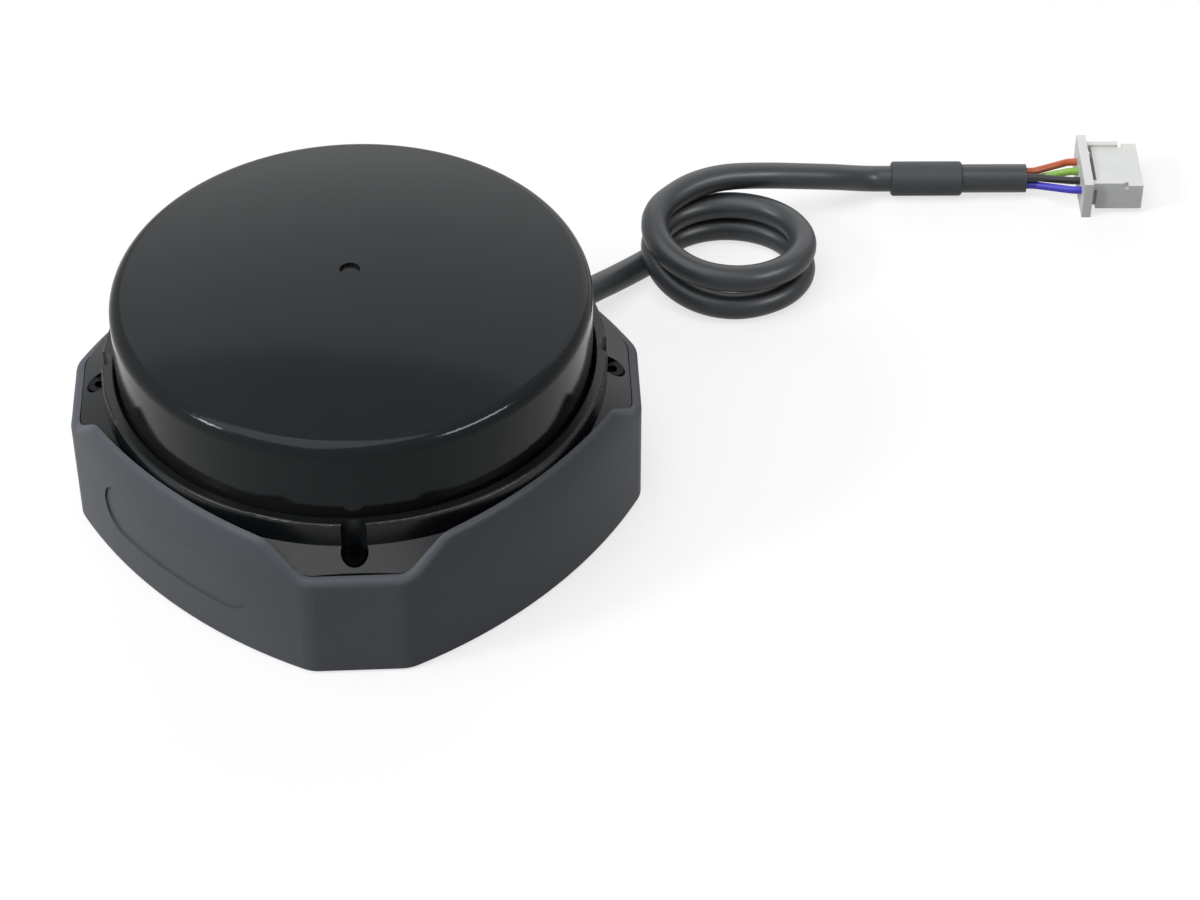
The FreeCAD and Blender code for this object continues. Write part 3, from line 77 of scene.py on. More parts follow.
# %% Route of the lead, in millimetres
CABLE_RADIUS = 2.15
LEAD_POINTS = [
    (0.0, 44.5, 5.0),
    (0.0, 46.0, 5.0),
    (0.0, 51.0, 4.5),
    (0.1, 57.0, 3.4),
    (0.0, 62.0, 2.5),
    (0.2, 66.2, 2.15),
]
TAIL_POINTS = [
    (-0.4, 75.6, 11.2),
    (1.6, 81.0, 10.9),
    (5.4, 87.0, 9.7),
    (8.5, 93.0, 7.7),
    (11.2, 98.3, 5.9),
    (12.9, 104.33, 2.95),
    (15.9, 107.1, 2.95),
    (17.4, 108.5, 2.95),
]
print("points on the straight stretches:", len(LEAD_POINTS) + len(TAIL_POINTS))

# %% Turns of the lead
# Sizes are in millimetres. Each height stands beside the angle, in degrees, that the lead has swept by then.
TURN_COUNT = 2
TURNS_CENTRE = (10.3, 72.5)
TURNS_HALF_LENGTH = 12.0
TURNS_HALF_WIDTH = 10.1
TURNS_HEADING = math.radians(42.4)
TURNS_START_DEGREES = 142.2
POINTS_PER_TURN = 24
TURN_HEIGHTS = [
    (0, 2.15), (232, 2.15), (262, 3.0), (285, 4.2), (310, 5.9), (335, 6.5), (360, 6.55), (412, 6.7),
    (502, 6.9), (592, 7.8), (622, 8.4), (645, 9.3), (670, 10.3), (695, 10.9), (720, 10.95),
]


def point_on_turns(swept):
    """Place on the oval after a swept angle in degrees, wound clockwise as seen from above."""
    angle = math.radians(TURNS_START_DEGREES - swept)
    along = TURNS_HALF_LENGTH * math.cos(angle)
    across = TURNS_HALF_WIDTH * math.sin(angle)
    height = np.interp(swept, [turn for turn, _ in TURN_HEIGHTS], [z for _, z in TURN_HEIGHTS])
    x = TURNS_CENTRE[0] + along * math.cos(TURNS_HEADING) - across * math.sin(TURNS_HEADING)
    y = TURNS_CENTRE[1] + along * math.sin(TURNS_HEADING) + across * math.cos(TURNS_HEADING)
    return (x, y, float(height))


step = 360 / POINTS_PER_TURN
turn_points = [point_on_turns(index * step) for index in range(TURN_COUNT * POINTS_PER_TURN + 1)]
route = LEAD_POINTS + turn_points + TAIL_POINTS
print("points on the turns:", len(turn_points))

# %% The lead as a curve
# The bevel is a metre deep, and the radius of each point scales it down to the cable: a thickness that is
# given this way also counts in the box of the curve.
FULL_BEVEL = 1.0
BEVEL_STEPS = 8
SPLINE_ORDER = 3
STEPS_BETWEEN_POINTS = 6
lead_curve = bpy.data.curves.new("signal_lead", "CURVE")
lead_curve.dimensions = "3D"
lead_curve.bevel_depth = FULL_BEVEL
lead_curve.bevel_resolution = BEVEL_STEPS
lead_curve.use_fill_caps = True
spline = lead_curve.splines.new("NURBS")
spline.points.add(len(route) - 1)
for point, place in zip(spline.points, route):
    point.co = (place[0] * MM, place[1] * MM, place[2] * MM, 1.0)
    point.radius = CABLE_RADIUS * MM
spline.order_u = SPLINE_ORDER
spline.use_endpoint_u = True
spline.resolution_u = STEPS_BETWEEN_POINTS
lead = bpy.data.objects.new("signal_lead", lead_curve)
bpy.context.scene.collection.objects.link(lead)
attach(lead, "base")
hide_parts("cable_lead", "cable_coil", "cable_tail")
print("lead of", len(spline.points), "points")

# %% [markdown]
# ## Colours and nodes
# Colours are written as they look on a screen, in hex, while Blender mixes light in linear numbers, so one
# function turns the first into the second. Materials are small graphs of nodes. One more function adds a
# node, sets its values and links its inputs, which keeps each finish short enough to read.

# %% From hex to linear


def linear(hex_code):
    """Linear colour for an sRGB hex value such as '4b4e53'."""
    parts = [int(hex_code[index:index + 2], 16) / 255 for index in (0, 2, 4)]
    return [part / 12.92 if part <= 0.04045 else ((part + 0.055) / 1.055) ** 2.4 for part in parts] + [1.0]


print("mid grey 808080 is", round(linear("808080")[0], 3), "in linear numbers")

# %% Adding and linking nodes


def add(owner, kind, settings, links):
    """Add a node, set its inputs or properties by name, and link its inputs to other nodes' outputs."""
    node = owner.node_tree.nodes.new(kind)
    for name, value in settings.items():
        if isinstance(name, int) or name in node.inputs:
            node.inputs[name].default_value = value
        else:
            setattr(node, name, value)
    for name, socket in links.items():
        owner.node_tree.links.new(socket, node.inputs[name])
    return node


def start(name, settings):
    """New material with its shader's own values set, and the place on the object in metres."""
    material = bpy.data.materials.new(name)
    material.use_nodes = True
    shader = material.node_tree.nodes["Principled BSDF"]
    for socket, value in settings.items():
        shader.inputs[socket].default_value = value
    place = add(material, "ShaderNodeTexCoord", {}, {}).outputs["Object"]
    return material, shader, place


def join(owner, output, socket):
    """Link one output to one input."""
    owner.node_tree.links.new(output, socket)


print("materials before the finishes:", len(bpy.data.materials))

# %% Laying a finish on
# A Mix node has sockets for numbers, vectors and colours. These are the places of its two colours and of
# the colour that comes out.
DARK, LIGHT, BLEND = 6, 7, 2
covered = set()


def lay_on(material, shader, colour, gloss, bump):
    """Link a finish's colour, gloss and bump to its shader."""
    join(material, colour, shader.inputs["Base Color"])
    join(material, gloss, shader.inputs["Roughness"])
    join(material, bump, shader.inputs["Normal"])


def per_metre(millimetres):
    """Texture scale for a pattern whose detail has a real size in millimetres."""
    return 1.0 / (millimetres * MM)


def cover(names, material):
    """Give a finish to CAD pieces."""
    for name in names:
        slots = nodes[name].data.materials
        slots.clear()
        slots.append(material)
        covered.add(name)
    print(material.name, "on", len(names), "pieces")


print("a pattern of 1 mm has the scale", per_metre(1.0))

# %% [markdown]
# ## Coated cast housing
# The base is die-cast aluminium with a matt, dark blue-grey powder coat. The coat is sprayed as dust and
# melted on, so it has a very fine orange-peel skin, slightly uneven gloss and hardly any mirror. A flat grey
# would look like a drawing, so noise moves the colour, the gloss and the surface a little.

# %% Powder coat
# Gives the eye a dull, even grey with soft rims. The real skin is about 0.15 mm fine, drawn at 0.45 mm.
powder_coat, shader, place = start("powder_coated_aluminium", {
    "Metallic": 0.0, "IOR": 1.46, "Specular IOR Level": 0.15})
skin = add(powder_coat, "ShaderNodeTexNoise", {"Scale": per_metre(0.45), "Detail": 3.0}, {"Vector": place})
cloud = add(powder_coat, "ShaderNodeTexNoise", {"Scale": per_metre(14.0), "Detail": 2.0}, {"Vector": place})
tint = add(powder_coat, "ShaderNodeMix", {
    "data_type": "RGBA", DARK: linear("4d5055"), LIGHT: linear("575a60")}, {"Factor": cloud.outputs["Fac"]})
gloss = add(powder_coat, "ShaderNodeMapRange", {"To Min": 0.42, "To Max": 0.54}, {
    "Value": skin.outputs["Fac"]})
bump = add(powder_coat, "ShaderNodeBump", {"Strength": 0.12, "Distance": 0.05 * MM}, {
    "Height": skin.outputs["Fac"]})
lay_on(powder_coat, shader, tint.outputs[BLEND], gloss.outputs["Result"], bump.outputs["Normal"])
cover(["base_housing"], powder_coat)

# %% [markdown]
# ## Window plastic
# The cap is moulded polycarbonate, dyed so that it looks black but lets infrared light through. It comes
# out of a polished mould: smooth and glossy, with a faint flow unevenness in its shine and a few dust marks.
# Its look is nearly all reflection, so the work is in the roughness rather than in the colour.

# %% Polished polycarbonate
# Gives the eye a deep black with a broad, faintly blue sheen that is never quite even. Specks of dust, about
# 0.3 mm, are drawn at 0.8 mm.
polycarbonate, shader, place = start("polished_black_polycarbonate", {
    "IOR": 1.58, "Specular IOR Level": 0.10, "Specular Tint": linear("f0f9ff")})
flow = add(polycarbonate, "ShaderNodeTexNoise", {"Scale": per_metre(22.0), "Detail": 2.0}, {
    "Vector": place})
dust = add(polycarbonate, "ShaderNodeTexNoise", {"Scale": per_metre(0.8), "Detail": 2.0}, {"Vector": place})
specks = add(polycarbonate, "ShaderNodeMapRange", {
    "From Min": 0.66, "From Max": 0.74, "To Min": 0.0, "To Max": 0.05}, {"Value": dust.outputs["Fac"]})
tint = add(polycarbonate, "ShaderNodeMix", {
    "data_type": "RGBA", DARK: linear("18191a"), LIGHT: linear("1e1f20")}, {"Factor": flow.outputs["Fac"]})
sheen = add(polycarbonate, "ShaderNodeMapRange", {"To Min": 0.11, "To Max": 0.16}, {
    "Value": flow.outputs["Fac"]})
gloss = add(polycarbonate, "ShaderNodeMath", {"operation": "ADD"}, {
    0: sheen.outputs["Result"], 1: specks.outputs["Result"]})
bump = add(polycarbonate, "ShaderNodeBump", {"Strength": 0.3, "Distance": 0.15 * MM}, {
    "Height": flow.outputs["Fac"]})
lay_on(polycarbonate, shader, tint.outputs[BLEND], gloss.outputs["Value"], bump.outputs["Normal"])
cover(["window_cap"], polycarbonate)

# %% [markdown]
# ## Clamp ring
# The ring that holds the cap down is moulded from glass-filled nylon, dyed black. Its mould was
# spark-eroded, which leaves a fine even grain, so it shines less than the cap and more than the base.

# %% Glass-filled nylon
# Gives the eye a satin, nearly black skin with a dry grain of about 0.2 mm, drawn at 0.5 mm.
filled_nylon, shader, place = start("glass_filled_nylon", {"IOR": 1.53, "Specular IOR Level": 0.2})
grain = add(filled_nylon, "ShaderNodeTexNoise", {"Scale": per_metre(0.5), "Detail": 4.0}, {"Vector": place})
cloud = add(filled_nylon, "ShaderNodeTexNoise", {"Scale": per_metre(9.0), "Detail": 2.0}, {"Vector": place})
tint = add(filled_nylon, "ShaderNodeMix", {
    "data_type": "RGBA", DARK: linear("101214"), LIGHT: linear("181a1c")}, {"Factor": cloud.outputs["Fac"]})
gloss = add(filled_nylon, "ShaderNodeMapRange", {"To Min": 0.22, "To Max": 0.34}, {
    "Value": grain.outputs["Fac"]})
bump = add(filled_nylon, "ShaderNodeBump", {"Strength": 0.10, "Distance": 0.04 * MM}, {
    "Height": grain.outputs["Fac"]})
lay_on(filled_nylon, shader, tint.outputs[BLEND], gloss.outputs["Result"], bump.outputs["Normal"])
cover(["clamp_ring"], filled_nylon)

# %% [markdown]
# ## Black screws
# The corner screws are steel with a black oxide, a thin conversion layer that keeps the metal's shine but
# takes its colour. The clip on the shaft and the rings that hold the lenses have the same finish.

# %% Black oxide steel
# Gives the eye a dark metal with a faint oily mottle. The mottle is about 1 mm wide.
black_oxide, shader, place = start("black_oxide_steel", {"Metallic": 1.0})
mottle = add(black_oxide, "ShaderNodeTexNoise", {"Scale": per_metre(1.0), "Detail": 3.0}, {"Vector": place})
tint = add(black_oxide, "ShaderNodeMix", {
    "data_type": "RGBA", DARK: linear("0e0f10"), LIGHT: linear("191a1c")}, {"Factor": mottle.outputs["Fac"]})
gloss = add(black_oxide, "ShaderNodeMapRange", {"To Min": 0.30, "To Max": 0.46}, {
    "Value": mottle.outputs["Fac"]})
bump = add(black_oxide, "ShaderNodeBump", {"Strength": 0.10, "Distance": 0.03 * MM}, {
    "Height": mottle.outputs["Fac"]})
lay_on(black_oxide, shader, tint.outputs[BLEND], gloss.outputs["Result"], bump.outputs["Normal"])
cover(["cap_screws", "shaft_clip", "lens_retainers"], black_oxide)

# %% [markdown]
# ## Rubber
# The seal under the cap and the boot where the lead comes out are moulded nitrile rubber. It is nearly
# black, hardly shines, and carries a pale bloom where its wax has come to the surface.

# %% Nitrile rubber
# Gives the eye a soft dull black. The bloom comes in patches of about 4 mm over a grain of 0.4 mm.
rubber, shader, place = start("nitrile_rubber", {"IOR": 1.52, "Specular IOR Level": 0.3})
bloom = add(rubber, "ShaderNodeTexNoise", {"Scale": per_metre(4.0), "Detail": 3.0}, {"Vector": place})
grain = add(rubber, "ShaderNodeTexNoise", {"Scale": per_metre(0.4), "Detail": 2.0}, {"Vector": place})
tint = add(rubber, "ShaderNodeMix", {
    "data_type": "RGBA", DARK: linear("1c1c1d"), LIGHT: linear("2a2a2b")}, {"Factor": bloom.outputs["Fac"]})
gloss = add(rubber, "ShaderNodeMapRange", {"To Min": 0.62, "To Max": 0.82}, {"Value": bloom.outputs["Fac"]})
bump = add(rubber, "ShaderNodeBump", {"Strength": 0.2, "Distance": 0.04 * MM}, {
    "Height": grain.outputs["Fac"]})
lay_on(rubber, shader, tint.outputs[BLEND], gloss.outputs["Result"], bump.outputs["Normal"])
cover(["cap_seal", "cable_grommet"], rubber)

# %% [markdown]
# ## Sheath of the lead
# The lead's outer sheath is extruded soft PVC, dark grey. The hot plastic is drawn through a die, which
# leaves it smooth with a low shine, and handling dulls it in patches. The same sheath shows again behind
# the sleeve.

# %% PVC sheath
# Gives the eye a smooth dark grey with a long soft highlight. Skin of 0.6 mm, handling marks of 6 mm.
sheath, shader, place = start("extruded_pvc_sheath", {"IOR": 1.53, "Specular IOR Level": 0.3})
skin = add(sheath, "ShaderNodeTexNoise", {"Scale": per_metre(0.6), "Detail": 2.0}, {"Vector": place})
marks = add(sheath, "ShaderNodeTexNoise", {"Scale": per_metre(6.0), "Detail": 3.0}, {"Vector": place})
tint = add(sheath, "ShaderNodeMix", {
    "data_type": "RGBA", DARK: linear("313437"), LIGHT: linear("3c3f42")}, {"Factor": marks.outputs["Fac"]})
gloss = add(sheath, "ShaderNodeMapRange", {"To Min": 0.32, "To Max": 0.44}, {"Value": marks.outputs["Fac"]})
bump = add(sheath, "ShaderNodeBump", {"Strength": 0.10, "Distance": 0.05 * MM}, {
    "Height": skin.outputs["Fac"]})
lay_on(sheath, shader, tint.outputs[BLEND], gloss.outputs["Result"], bump.outputs["Normal"])
lead_curve.materials.append(sheath)
cover(["sheath_end", "cable_lead", "cable_coil", "cable_tail"], sheath)

# %% [markdown]
# ## Shrunk sleeve
# Where the sheath ends, a piece of polyolefin tube was slipped on and heated until it shrank. It is a little
# thicker than the lead, matt, and never quite smooth: the shrinking leaves shallow waves.

# %% Heat-shrunk polyolefin
# Gives the eye a matt dark grey with slow waves, about 2.5 mm from crest to crest.
shrunk, shader, place = start("heat_shrunk_polyolefin", {"IOR": 1.49, "Specular IOR Level": 0.35})
waves = add(shrunk, "ShaderNodeTexNoise", {"Scale": per_metre(2.5), "Detail": 1.0}, {"Vector": place})
skin = add(shrunk, "ShaderNodeTexNoise", {"Scale": per_metre(0.5), "Detail": 2.0}, {"Vector": place})
tint = add(shrunk, "ShaderNodeMix", {
    "data_type": "RGBA", DARK: linear("323638"), LIGHT: linear("3c4042")}, {"Factor": skin.outputs["Fac"]})
gloss = add(shrunk, "ShaderNodeMapRange", {"To Min": 0.50, "To Max": 0.66}, {"Value": waves.outputs["Fac"]})
bump = add(shrunk, "ShaderNodeBump", {"Strength": 0.35, "Distance": 0.15 * MM}, {
    "Height": waves.outputs["Fac"]})
lay_on(shrunk, shader, tint.outputs[BLEND], gloss.outputs["Result"], bump.outputs["Normal"])
cover(["heat_shrink_sleeve"], shrunk)

# %% [markdown]
# ## Coloured wires
# Four thin wires run from the sheath into the plug. Each is insulated with PVC in its own colour, so that
# they can be told apart. One loop makes the four finishes, because only the colour differs.

# %% Wire insulation
# Gives the eye clear colours with a waxy shine. The die's marks are drawn at 0.4 mm, twice as coarse as real.
WIRE_COLOURS = [
    ("blue", "3a34b4", "4640c8"),
    ("black", "1a1a1b", "242425"),
    ("green", "7cab40", "90bd50"),
    ("orange", "b4522a", "c66236"),
]
for colour, dark, light in WIRE_COLOURS:
    insulation, shader, place = start("pvc_insulation_" + colour, {"IOR": 1.53, "Specular IOR Level": 0.4})
    skin = add(insulation, "ShaderNodeTexNoise", {"Scale": per_metre(0.4), "Detail": 2.0}, {
        "Vector": place})
    tint = add(insulation, "ShaderNodeMix", {
        "data_type": "RGBA", DARK: linear(dark), LIGHT: linear(light)}, {"Factor": skin.outputs["Fac"]})
    gloss = add(insulation, "ShaderNodeMapRange", {"To Min": 0.34, "To Max": 0.48}, {
        "Value": skin.outputs["Fac"]})
    bump = add(insulation, "ShaderNodeBump", {"Strength": 0.10, "Distance": 0.03 * MM}, {
        "Height": skin.outputs["Fac"]})
    lay_on(insulation, shader, tint.outputs[BLEND], gloss.outputs["Result"], bump.outputs["Normal"])
    cover(["wire_" + colour], insulation)

# %% [markdown]
# ## Plug and socket
# The plug and the small socket on the board are moulded from unfilled nylon: the plug is white, the socket a
# little yellower. Nylon lets some light in, so its edges look softer than paint would.

# %% White nylon
# Gives the eye a milky white with a low shine. Flow marks of 3 mm, mould grain of 0.4 mm.
NYLON_PIECES = [
    ("plug_housing", "white_nylon", "d5d4d1", "e0dfdc"),
    ("board_socket", "natural_nylon", "d6cfb8", "e2dcc8"),
]
for piece, name, dark, light in NYLON_PIECES:
    nylon, shader, place = start(name, {"IOR": 1.53, "Specular IOR Level": 0.4, "Subsurface Weight": 0.08})
    flow = add(nylon, "ShaderNodeTexNoise", {"Scale": per_metre(3.0), "Detail": 2.0}, {"Vector": place})
    grain = add(nylon, "ShaderNodeTexNoise", {"Scale": per_metre(0.4), "Detail": 2.0}, {"Vector": place})
    tint = add(nylon, "ShaderNodeMix", {
        "data_type": "RGBA", DARK: linear(dark), LIGHT: linear(light)}, {"Factor": flow.outputs["Fac"]})
    gloss = add(nylon, "ShaderNodeMapRange", {"To Min": 0.36, "To Max": 0.50}, {
        "Value": grain.outputs["Fac"]})
    bump = add(nylon, "ShaderNodeBump", {"Strength": 0.08, "Distance": 0.03 * MM}, {
        "Height": grain.outputs["Fac"]})
    lay_on(nylon, shader, tint.outputs[BLEND], gloss.outputs["Result"], bump.outputs["Normal"])
    cover([piece], nylon)

# %% [markdown]
# ## Plug contacts
# The contacts are stamped from bronze strip and plated with tin. Rolling leaves fine marks on the strip,
# and the plating makes them soft and bright.

# %% Tin plate
# Gives the eye a pale, slightly yellow silver. Rolling marks, finer than that in truth, are drawn at 0.25 mm.
tin, shader, place = start("tin_plated_bronze", {"Metallic": 1.0})
rolling = add(tin, "ShaderNodeTexNoise", {"Scale": per_metre(0.25), "Detail": 2.0}, {"Vector": place})
tint = add(tin, "ShaderNodeMix", {
    "data_type": "RGBA", DARK: linear("b9b5ab"), LIGHT: linear("cdcac2")}, {"Factor": rolling.outputs["Fac"]})
gloss = add(tin, "ShaderNodeMapRange", {"To Min": 0.28, "To Max": 0.42}, {"Value": rolling.outputs["Fac"]})
bump = add(tin, "ShaderNodeBump", {"Strength": 0.08, "Distance": 0.02 * MM}, {
    "Height": rolling.outputs["Fac"]})
lay_on(tin, shader, tint.outputs[BLEND], gloss.outputs["Result"], bump.outputs["Normal"])
cover(["plug_contacts"], tin)

# %% [markdown]
# ## Turned aluminium and brass
# Under the cap, the motor base and the spinning deck are turned from aluminium bar, and the counterweight
# and the laser's can from brass. A turning tool leaves rings about the axis, so a wave texture in rings
# about Z draws them. Blender's wave has 10 / pi crests per unit of its scale, hence the factor.

# %% Turned metals
# Gives the eye fine bright rings that catch the light in a fan. Real feed marks are 0.1 mm, drawn at 0.5 mm.
WAVE_FACTOR = math.pi / 10
TURNED_METALS = [
    ("turned_aluminium", "c2c4c6", "d2d4d6", ["motor_base", "rotor_deck"]),
    ("turned_brass", "c09a4a", "d3b062", ["counterweight", "laser_diode"]),
]
for name, dark, light, pieces in TURNED_METALS:
    metal, shader, place = start(name, {"Metallic": 1.0})
    rings = add(metal, "ShaderNodeTexWave", {
        "wave_type": "RINGS", "rings_direction": "Z", "Scale": per_metre(0.5) * WAVE_FACTOR,
        "Distortion": 0.4}, {"Vector": place})
    tint = add(metal, "ShaderNodeMix", {
        "data_type": "RGBA", DARK: linear(dark), LIGHT: linear(light)}, {"Factor": rings.outputs["Fac"]})
    gloss = add(metal, "ShaderNodeMapRange", {"To Min": 0.24, "To Max": 0.38}, {
        "Value": rings.outputs["Fac"]})
    bump = add(metal, "ShaderNodeBump", {"Strength": 0.10, "Distance": 0.02 * MM}, {
        "Height": rings.outputs["Fac"]})
    lay_on(metal, shader, tint.outputs[BLEND], gloss.outputs["Result"], bump.outputs["Normal"])
    cover(pieces, metal)

# %% [markdown]
# ## Steel inside
# The bearings and the shaft are ground and polished. The bell of the motor and the small screws are zinc
# plated, which is paler and carries a fine mottle from the plating bath.

# %% Ground and plated steel
# Gives the eye a bright mirror-like steel beside a paler, softer one. Mottle of 0.6 mm.
STEELS = [
    ("ground_bearing_steel", "a9acb0", "bcbfc3", 0.14, 0.26, [
        "lower_bearing", "upper_bearing", "rotor_shaft", "data_link_emitter"]),
    ("zinc_plated_steel", "9da1a6", "b5b9bd", 0.30, 0.46, [
        "motor_bell", "motor_screws", "board_screws", "deck_screws", "rotor_board_screws", "optics_screws",
        "sensor_board_screws"]),
]
for name, dark, light, smooth, rough, pieces in STEELS:
    steel, shader, place = start(name, {"Metallic": 1.0})
    mottle = add(steel, "ShaderNodeTexNoise", {"Scale": per_metre(0.6), "Detail": 3.0}, {"Vector": place})
    tint = add(steel, "ShaderNodeMix", {
        "data_type": "RGBA", DARK: linear(dark), LIGHT: linear(light)}, {"Factor": mottle.outputs["Fac"]})
    gloss = add(steel, "ShaderNodeMapRange", {"To Min": smooth, "To Max": rough}, {
        "Value": mottle.outputs["Fac"]})
    bump = add(steel, "ShaderNodeBump", {"Strength": 0.06, "Distance": 0.02 * MM}, {
        "Height": mottle.outputs["Fac"]})
    lay_on(steel, shader, tint.outputs[BLEND], gloss.outputs["Result"], bump.outputs["Normal"])
    cover(pieces, steel)

# %% [markdown]
# ## Core and coils
# The stator's core is a stack of thin stamped sheets, and the coils are layers of lacquered copper wire.
# Both show level lines, so both are waves in bands along Z, one flat and grey, the other rounder and copper.

# %% Stacked sheet and wound wire
# Gives the eye even stripes. Sheets are 0.5 mm thick. The wire is 0.25 mm and is drawn at 0.5 mm.
LAYERED = [
    ("stamped_electrical_steel", "6c6f74", "8d9095", 0.5, 0.35, 0.50, 0.03, ["stator_core"]),
    ("lacquered_copper_wire", "8a4420", "c4733c", 0.5, 0.22, 0.38, 0.10, [
        "stator_windings", "power_coil_fixed", "power_coil_turning"]),
]
for name, dark, light, pitch, smooth, rough, depth, pieces in LAYERED:
    layers, shader, place = start(name, {"Metallic": 1.0})
    bands = add(layers, "ShaderNodeTexWave", {
        "wave_type": "BANDS", "bands_direction": "Z", "Scale": per_metre(pitch) * WAVE_FACTOR}, {
        "Vector": place})
    tint = add(layers, "ShaderNodeMix", {
        "data_type": "RGBA", DARK: linear(dark), LIGHT: linear(light)}, {"Factor": bands.outputs["Fac"]})
    gloss = add(layers, "ShaderNodeMapRange", {"To Min": smooth, "To Max": rough}, {
        "Value": bands.outputs["Fac"]})
    bump = add(layers, "ShaderNodeBump", {"Strength": 0.5, "Distance": depth * MM}, {
        "Height": bands.outputs["Fac"]})
    lay_on(layers, shader, tint.outputs[BLEND], gloss.outputs["Result"], bump.outputs["Normal"])
    cover(pieces, layers)

# %% [markdown]
# ## Magnet
# The ring magnet is sintered ferrite: pressed powder, fired like a tile. It is dark grey, dull and slightly
# speckled, with small pores.

# %% Sintered ferrite
# Gives the eye a dull slate grey with speckles of about 0.4 mm.
ferrite, shader, place = start("sintered_ferrite", {"IOR": 1.6, "Specular IOR Level": 0.4})
speckle = add(ferrite, "ShaderNodeTexVoronoi", {"Scale": per_metre(0.4)}, {"Vector": place})
tint = add(ferrite, "ShaderNodeMix", {
    "data_type": "RGBA", DARK: linear("3a3a3d"), LIGHT: linear("4c4c50")}, {
    "Factor": speckle.outputs["Distance"]})
gloss = add(ferrite, "ShaderNodeMapRange", {"To Min": 0.55, "To Max": 0.75}, {
    "Value": speckle.outputs["Distance"]})
bump = add(ferrite, "ShaderNodeBump", {"Strength": 0.2, "Distance": 0.03 * MM}, {
    "Height": speckle.outputs["Distance"]})
lay_on(ferrite, shader, tint.outputs[BLEND], gloss.outputs["Result"], bump.outputs["Normal"])
cover(["magnet_ring"], ferrite)

# %% [markdown]
# ## Circuit boards
# The boards are woven glass fibre under a green solder mask. Copper tracks below the mask look lighter and
# stand up a little. A brick pattern gives such tracks: its joints are the tracks, its bricks the bare board.

# %% Solder mask
# Gives the eye a glossy green with paler lines. Tracks are 0.3 mm wide on a grid of 2.4 by 1.2 mm.
solder_mask, shader, place = start("solder_mask_on_glass_fibre", {"IOR": 1.52, "Specular IOR Level": 0.5})
tracks = add(solder_mask, "ShaderNodeTexBrick", {
    "Scale": per_metre(1.0), "Mortar Size": 0.15, "Mortar Smooth": 0.3, "Brick Width": 2.4, "Row Height": 1.2,
    "Color1": linear("11512c"), "Color2": linear("145a32"), "Mortar": linear("2a7a48")}, {"Vector": place})
weave = add(solder_mask, "ShaderNodeTexNoise", {"Scale": per_metre(0.5), "Detail": 2.0}, {"Vector": place})
gloss = add(solder_mask, "ShaderNodeMapRange", {"To Min": 0.26, "To Max": 0.40}, {
    "Value": weave.outputs["Fac"]})
bump = add(solder_mask, "ShaderNodeBump", {"Strength": 0.3, "Distance": 0.03 * MM}, {
    "Height": tracks.outputs["Fac"]})
lay_on(solder_mask, shader, tracks.outputs["Color"], gloss.outputs["Result"], bump.outputs["Normal"])
cover(["main_board", "rotor_board", "sensor_board"], solder_mask)

# %% [markdown]
# ## Black plastic inside
# The optics frame, the encoder and the small housings are moulded from matt black ABS. Stray light inside the
# cap would disturb the detector, so these pieces are as dull as a mould can make them.

# %% Matt ABS
# Gives the eye a flat black with almost no highlight. The mould's grain, about 0.2 mm, is drawn at 0.6 mm.
matt_abs, shader, place = start("matt_black_abs", {"IOR": 1.54, "Specular IOR Level": 0.25})
grain = add(matt_abs, "ShaderNodeTexNoise", {"Scale": per_metre(0.6), "Detail": 4.0}, {"Vector": place})
tint = add(matt_abs, "ShaderNodeMix", {
    "data_type": "RGBA", DARK: linear("18181a"), LIGHT: linear("222224")}, {"Factor": grain.outputs["Fac"]})
gloss = add(matt_abs, "ShaderNodeMapRange", {"To Min": 0.62, "To Max": 0.80}, {
    "Value": grain.outputs["Fac"]})
bump = add(matt_abs, "ShaderNodeBump", {"Strength": 0.25, "Distance": 0.04 * MM}, {
    "Height": grain.outputs["Fac"]})
lay_on(matt_abs, shader, tint.outputs[BLEND], gloss.outputs["Result"], bump.outputs["Normal"])
cover([
    "optics_frame", "encoder_ring", "encoder_sensor", "data_link_receiver", "light_detector",
    "inner_leads"], matt_abs)

# %% [markdown]
# ## Lenses
# Both lenses are ground and polished crown glass with a thin coating against reflections. Clear glass is
# mostly what is seen through it, so its own finish is only a faint haze.

# %% Coated crown glass
# Gives the eye a clear piece with a slight blue-green edge. The haze comes in clouds of about 3 mm.
crown_glass, shader, place = start("coated_crown_glass", {
    "Base Color": linear("e6f0f2"), "IOR": 1.52, "Transmission Weight": 1.0})
haze = add(crown_glass, "ShaderNodeTexNoise", {"Scale": per_metre(3.0), "Detail": 2.0}, {"Vector": place})
gloss = add(crown_glass, "ShaderNodeMapRange", {"To Min": 0.01, "To Max": 0.05}, {
    "Value": haze.outputs["Fac"]})
join(crown_glass, gloss.outputs["Result"], shader.inputs["Roughness"])
cover(["emitter_lens", "receiver_lens"], crown_glass)
print("pieces without a finish:", [name for name in nodes if name not in covered])

# %% [markdown]
# ## Stage
# The picture has a white ground with hardly any shadow and soft light, stronger from the left than from the
# right. The floor is a wide sheet of pale paper. Eyes and shiny surfaces see it lifted to white, so only a
# faint shadow is left, while the light that it throws back at the device stays that of plain paper. A Light
# Path node tells the two apart. The surroundings need the same nodes, so a function adds them.

# %% What is seen directly


def seen_directly(owner):
    """Output that is 1 for what the eye sees, straight, mirrored or through glass, and 0 for other light."""
    ray = add(owner, "ShaderNodeLightPath", {}, {})
    direct = add(owner, "ShaderNodeMath", {"operation": "MAXIMUM"}, {
        0: ray.outputs["Is Camera Ray"], 1: ray.outputs["Is Glossy Ray"]})
    seen = add(owner, "ShaderNodeMath", {"operation": "MAXIMUM"}, {
        0: direct.outputs["Value"], 1: ray.outputs["Is Transmission Ray"]})
    return seen.outputs["Value"]


print("materials with the finishes:", len(bpy.data.materials))

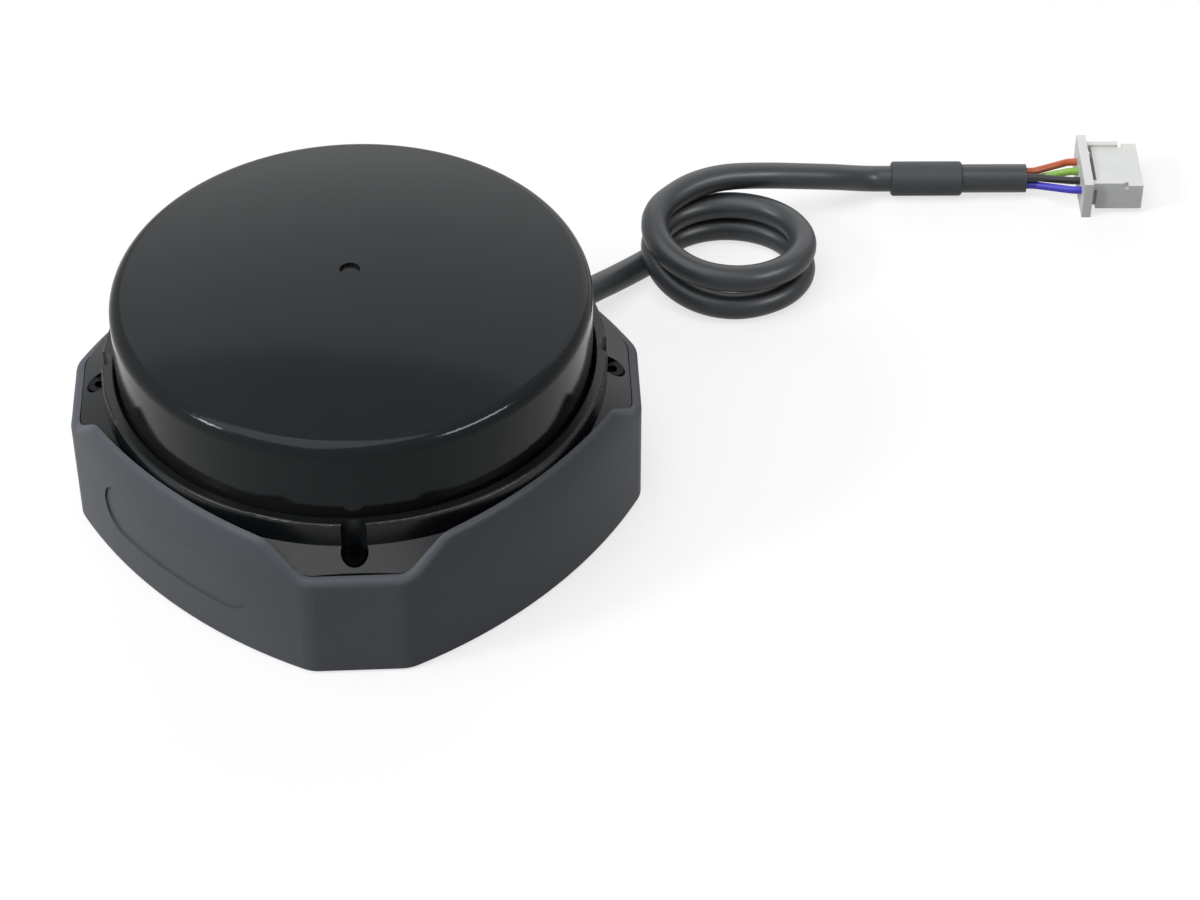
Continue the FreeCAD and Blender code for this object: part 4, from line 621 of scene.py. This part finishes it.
# %% Floor
FLOOR_HALF = 6.0
FLOOR_LIFT = 0.72
floor_mesh = bpy.data.meshes.new("studio_floor")
floor_mesh.from_pydata(
    [(-FLOOR_HALF, -FLOOR_HALF, 0), (FLOOR_HALF, -FLOOR_HALF, 0), (FLOOR_HALF, FLOOR_HALF, 0),
     (-FLOOR_HALF, FLOOR_HALF, 0)], [], [(0, 1, 2, 3)])
floor = bpy.data.objects.new("studio_floor", floor_mesh)
bpy.context.scene.collection.objects.link(floor)
floor_paper, shader, _ = start("matt_pale_paper", {
    "Base Color": linear("909090"), "Roughness": 0.9, "Specular IOR Level": 0.1,
    "Emission Color": linear("ffffff")})
lift = add(floor_paper, "ShaderNodeMath", {"operation": "MULTIPLY", 1: FLOOR_LIFT}, {
    0: seen_directly(floor_paper)})
join(floor_paper, lift.outputs["Value"], shader.inputs["Emission Strength"])
floor_mesh.materials.append(floor_paper)
print("floor", 2 * FLOOR_HALF, "m wide")

# %% [markdown]
# ## Light
# Four soft lamps. The large one behind stands where the domed cap mirrors it towards the camera, which makes
# the far half of the cap pale and leaves the near half dark. The one overhead lights the rims. Those at the
# front left and the right are small, so that each draws a short bright line on the cap's rounded edge. The
# right one is there for that line alone: matt surfaces don't see it, so the right side stays the darker one.
# All are weak enough that a colour looks about as it is written.

# %% Lamps
# Places and sizes are in metres, powers in watts.
GLINT_ONLY = "right"
LAMPS = [
    ("behind", (-0.51, 0.88, 0.64), 1.55, 1.0, 5.4),
    ("front_left", (-0.44, -0.91, 0.75), 0.18, 0.2, 5.8),
    ("overhead", (-0.05, -0.45, 1.45), 1.4, 1.4, 19.5),
    ("right", (1.0, 0.22, 0.76), 0.6, 0.16, 9.5),
]
for name, place_of_lamp, width, height, power in LAMPS:
    lamp_data = bpy.data.lights.new(name, "AREA")
    lamp_data.shape = "RECTANGLE"
    lamp_data.size = width
    lamp_data.size_y = height
    lamp_data.energy = power
    lamp = bpy.data.objects.new(name, lamp_data)
    lamp.location = place_of_lamp
    lamp.visible_diffuse = name != GLINT_ONLY
    lamp.rotation_euler = (-Vector(place_of_lamp)).to_track_quat("-Z", "Y").to_euler()
    bpy.context.scene.collection.objects.link(lamp)
    print("lamp", name, power, "W")

# %% [markdown]
# ## Surroundings
# The room around is white to the eye, to mirrors and to glass, as the ground is, and gives only a little
# light of its own, so that the lamps shape the device.

# %% World
WORLD_LEVEL = 0.06
world = bpy.data.worlds.new("studio")
world.use_nodes = True
bpy.context.scene.world = world
background = world.node_tree.nodes["Background"]
background.inputs["Color"].default_value = linear("ffffff")
level = add(world, "ShaderNodeMath", {"operation": "MAXIMUM", 1: WORLD_LEVEL}, {0: seen_directly(world)})
join(world, level.outputs["Value"], background.inputs["Strength"])
bpy.context.scene.view_settings.view_transform = "Standard"
print("world level", WORLD_LEVEL)
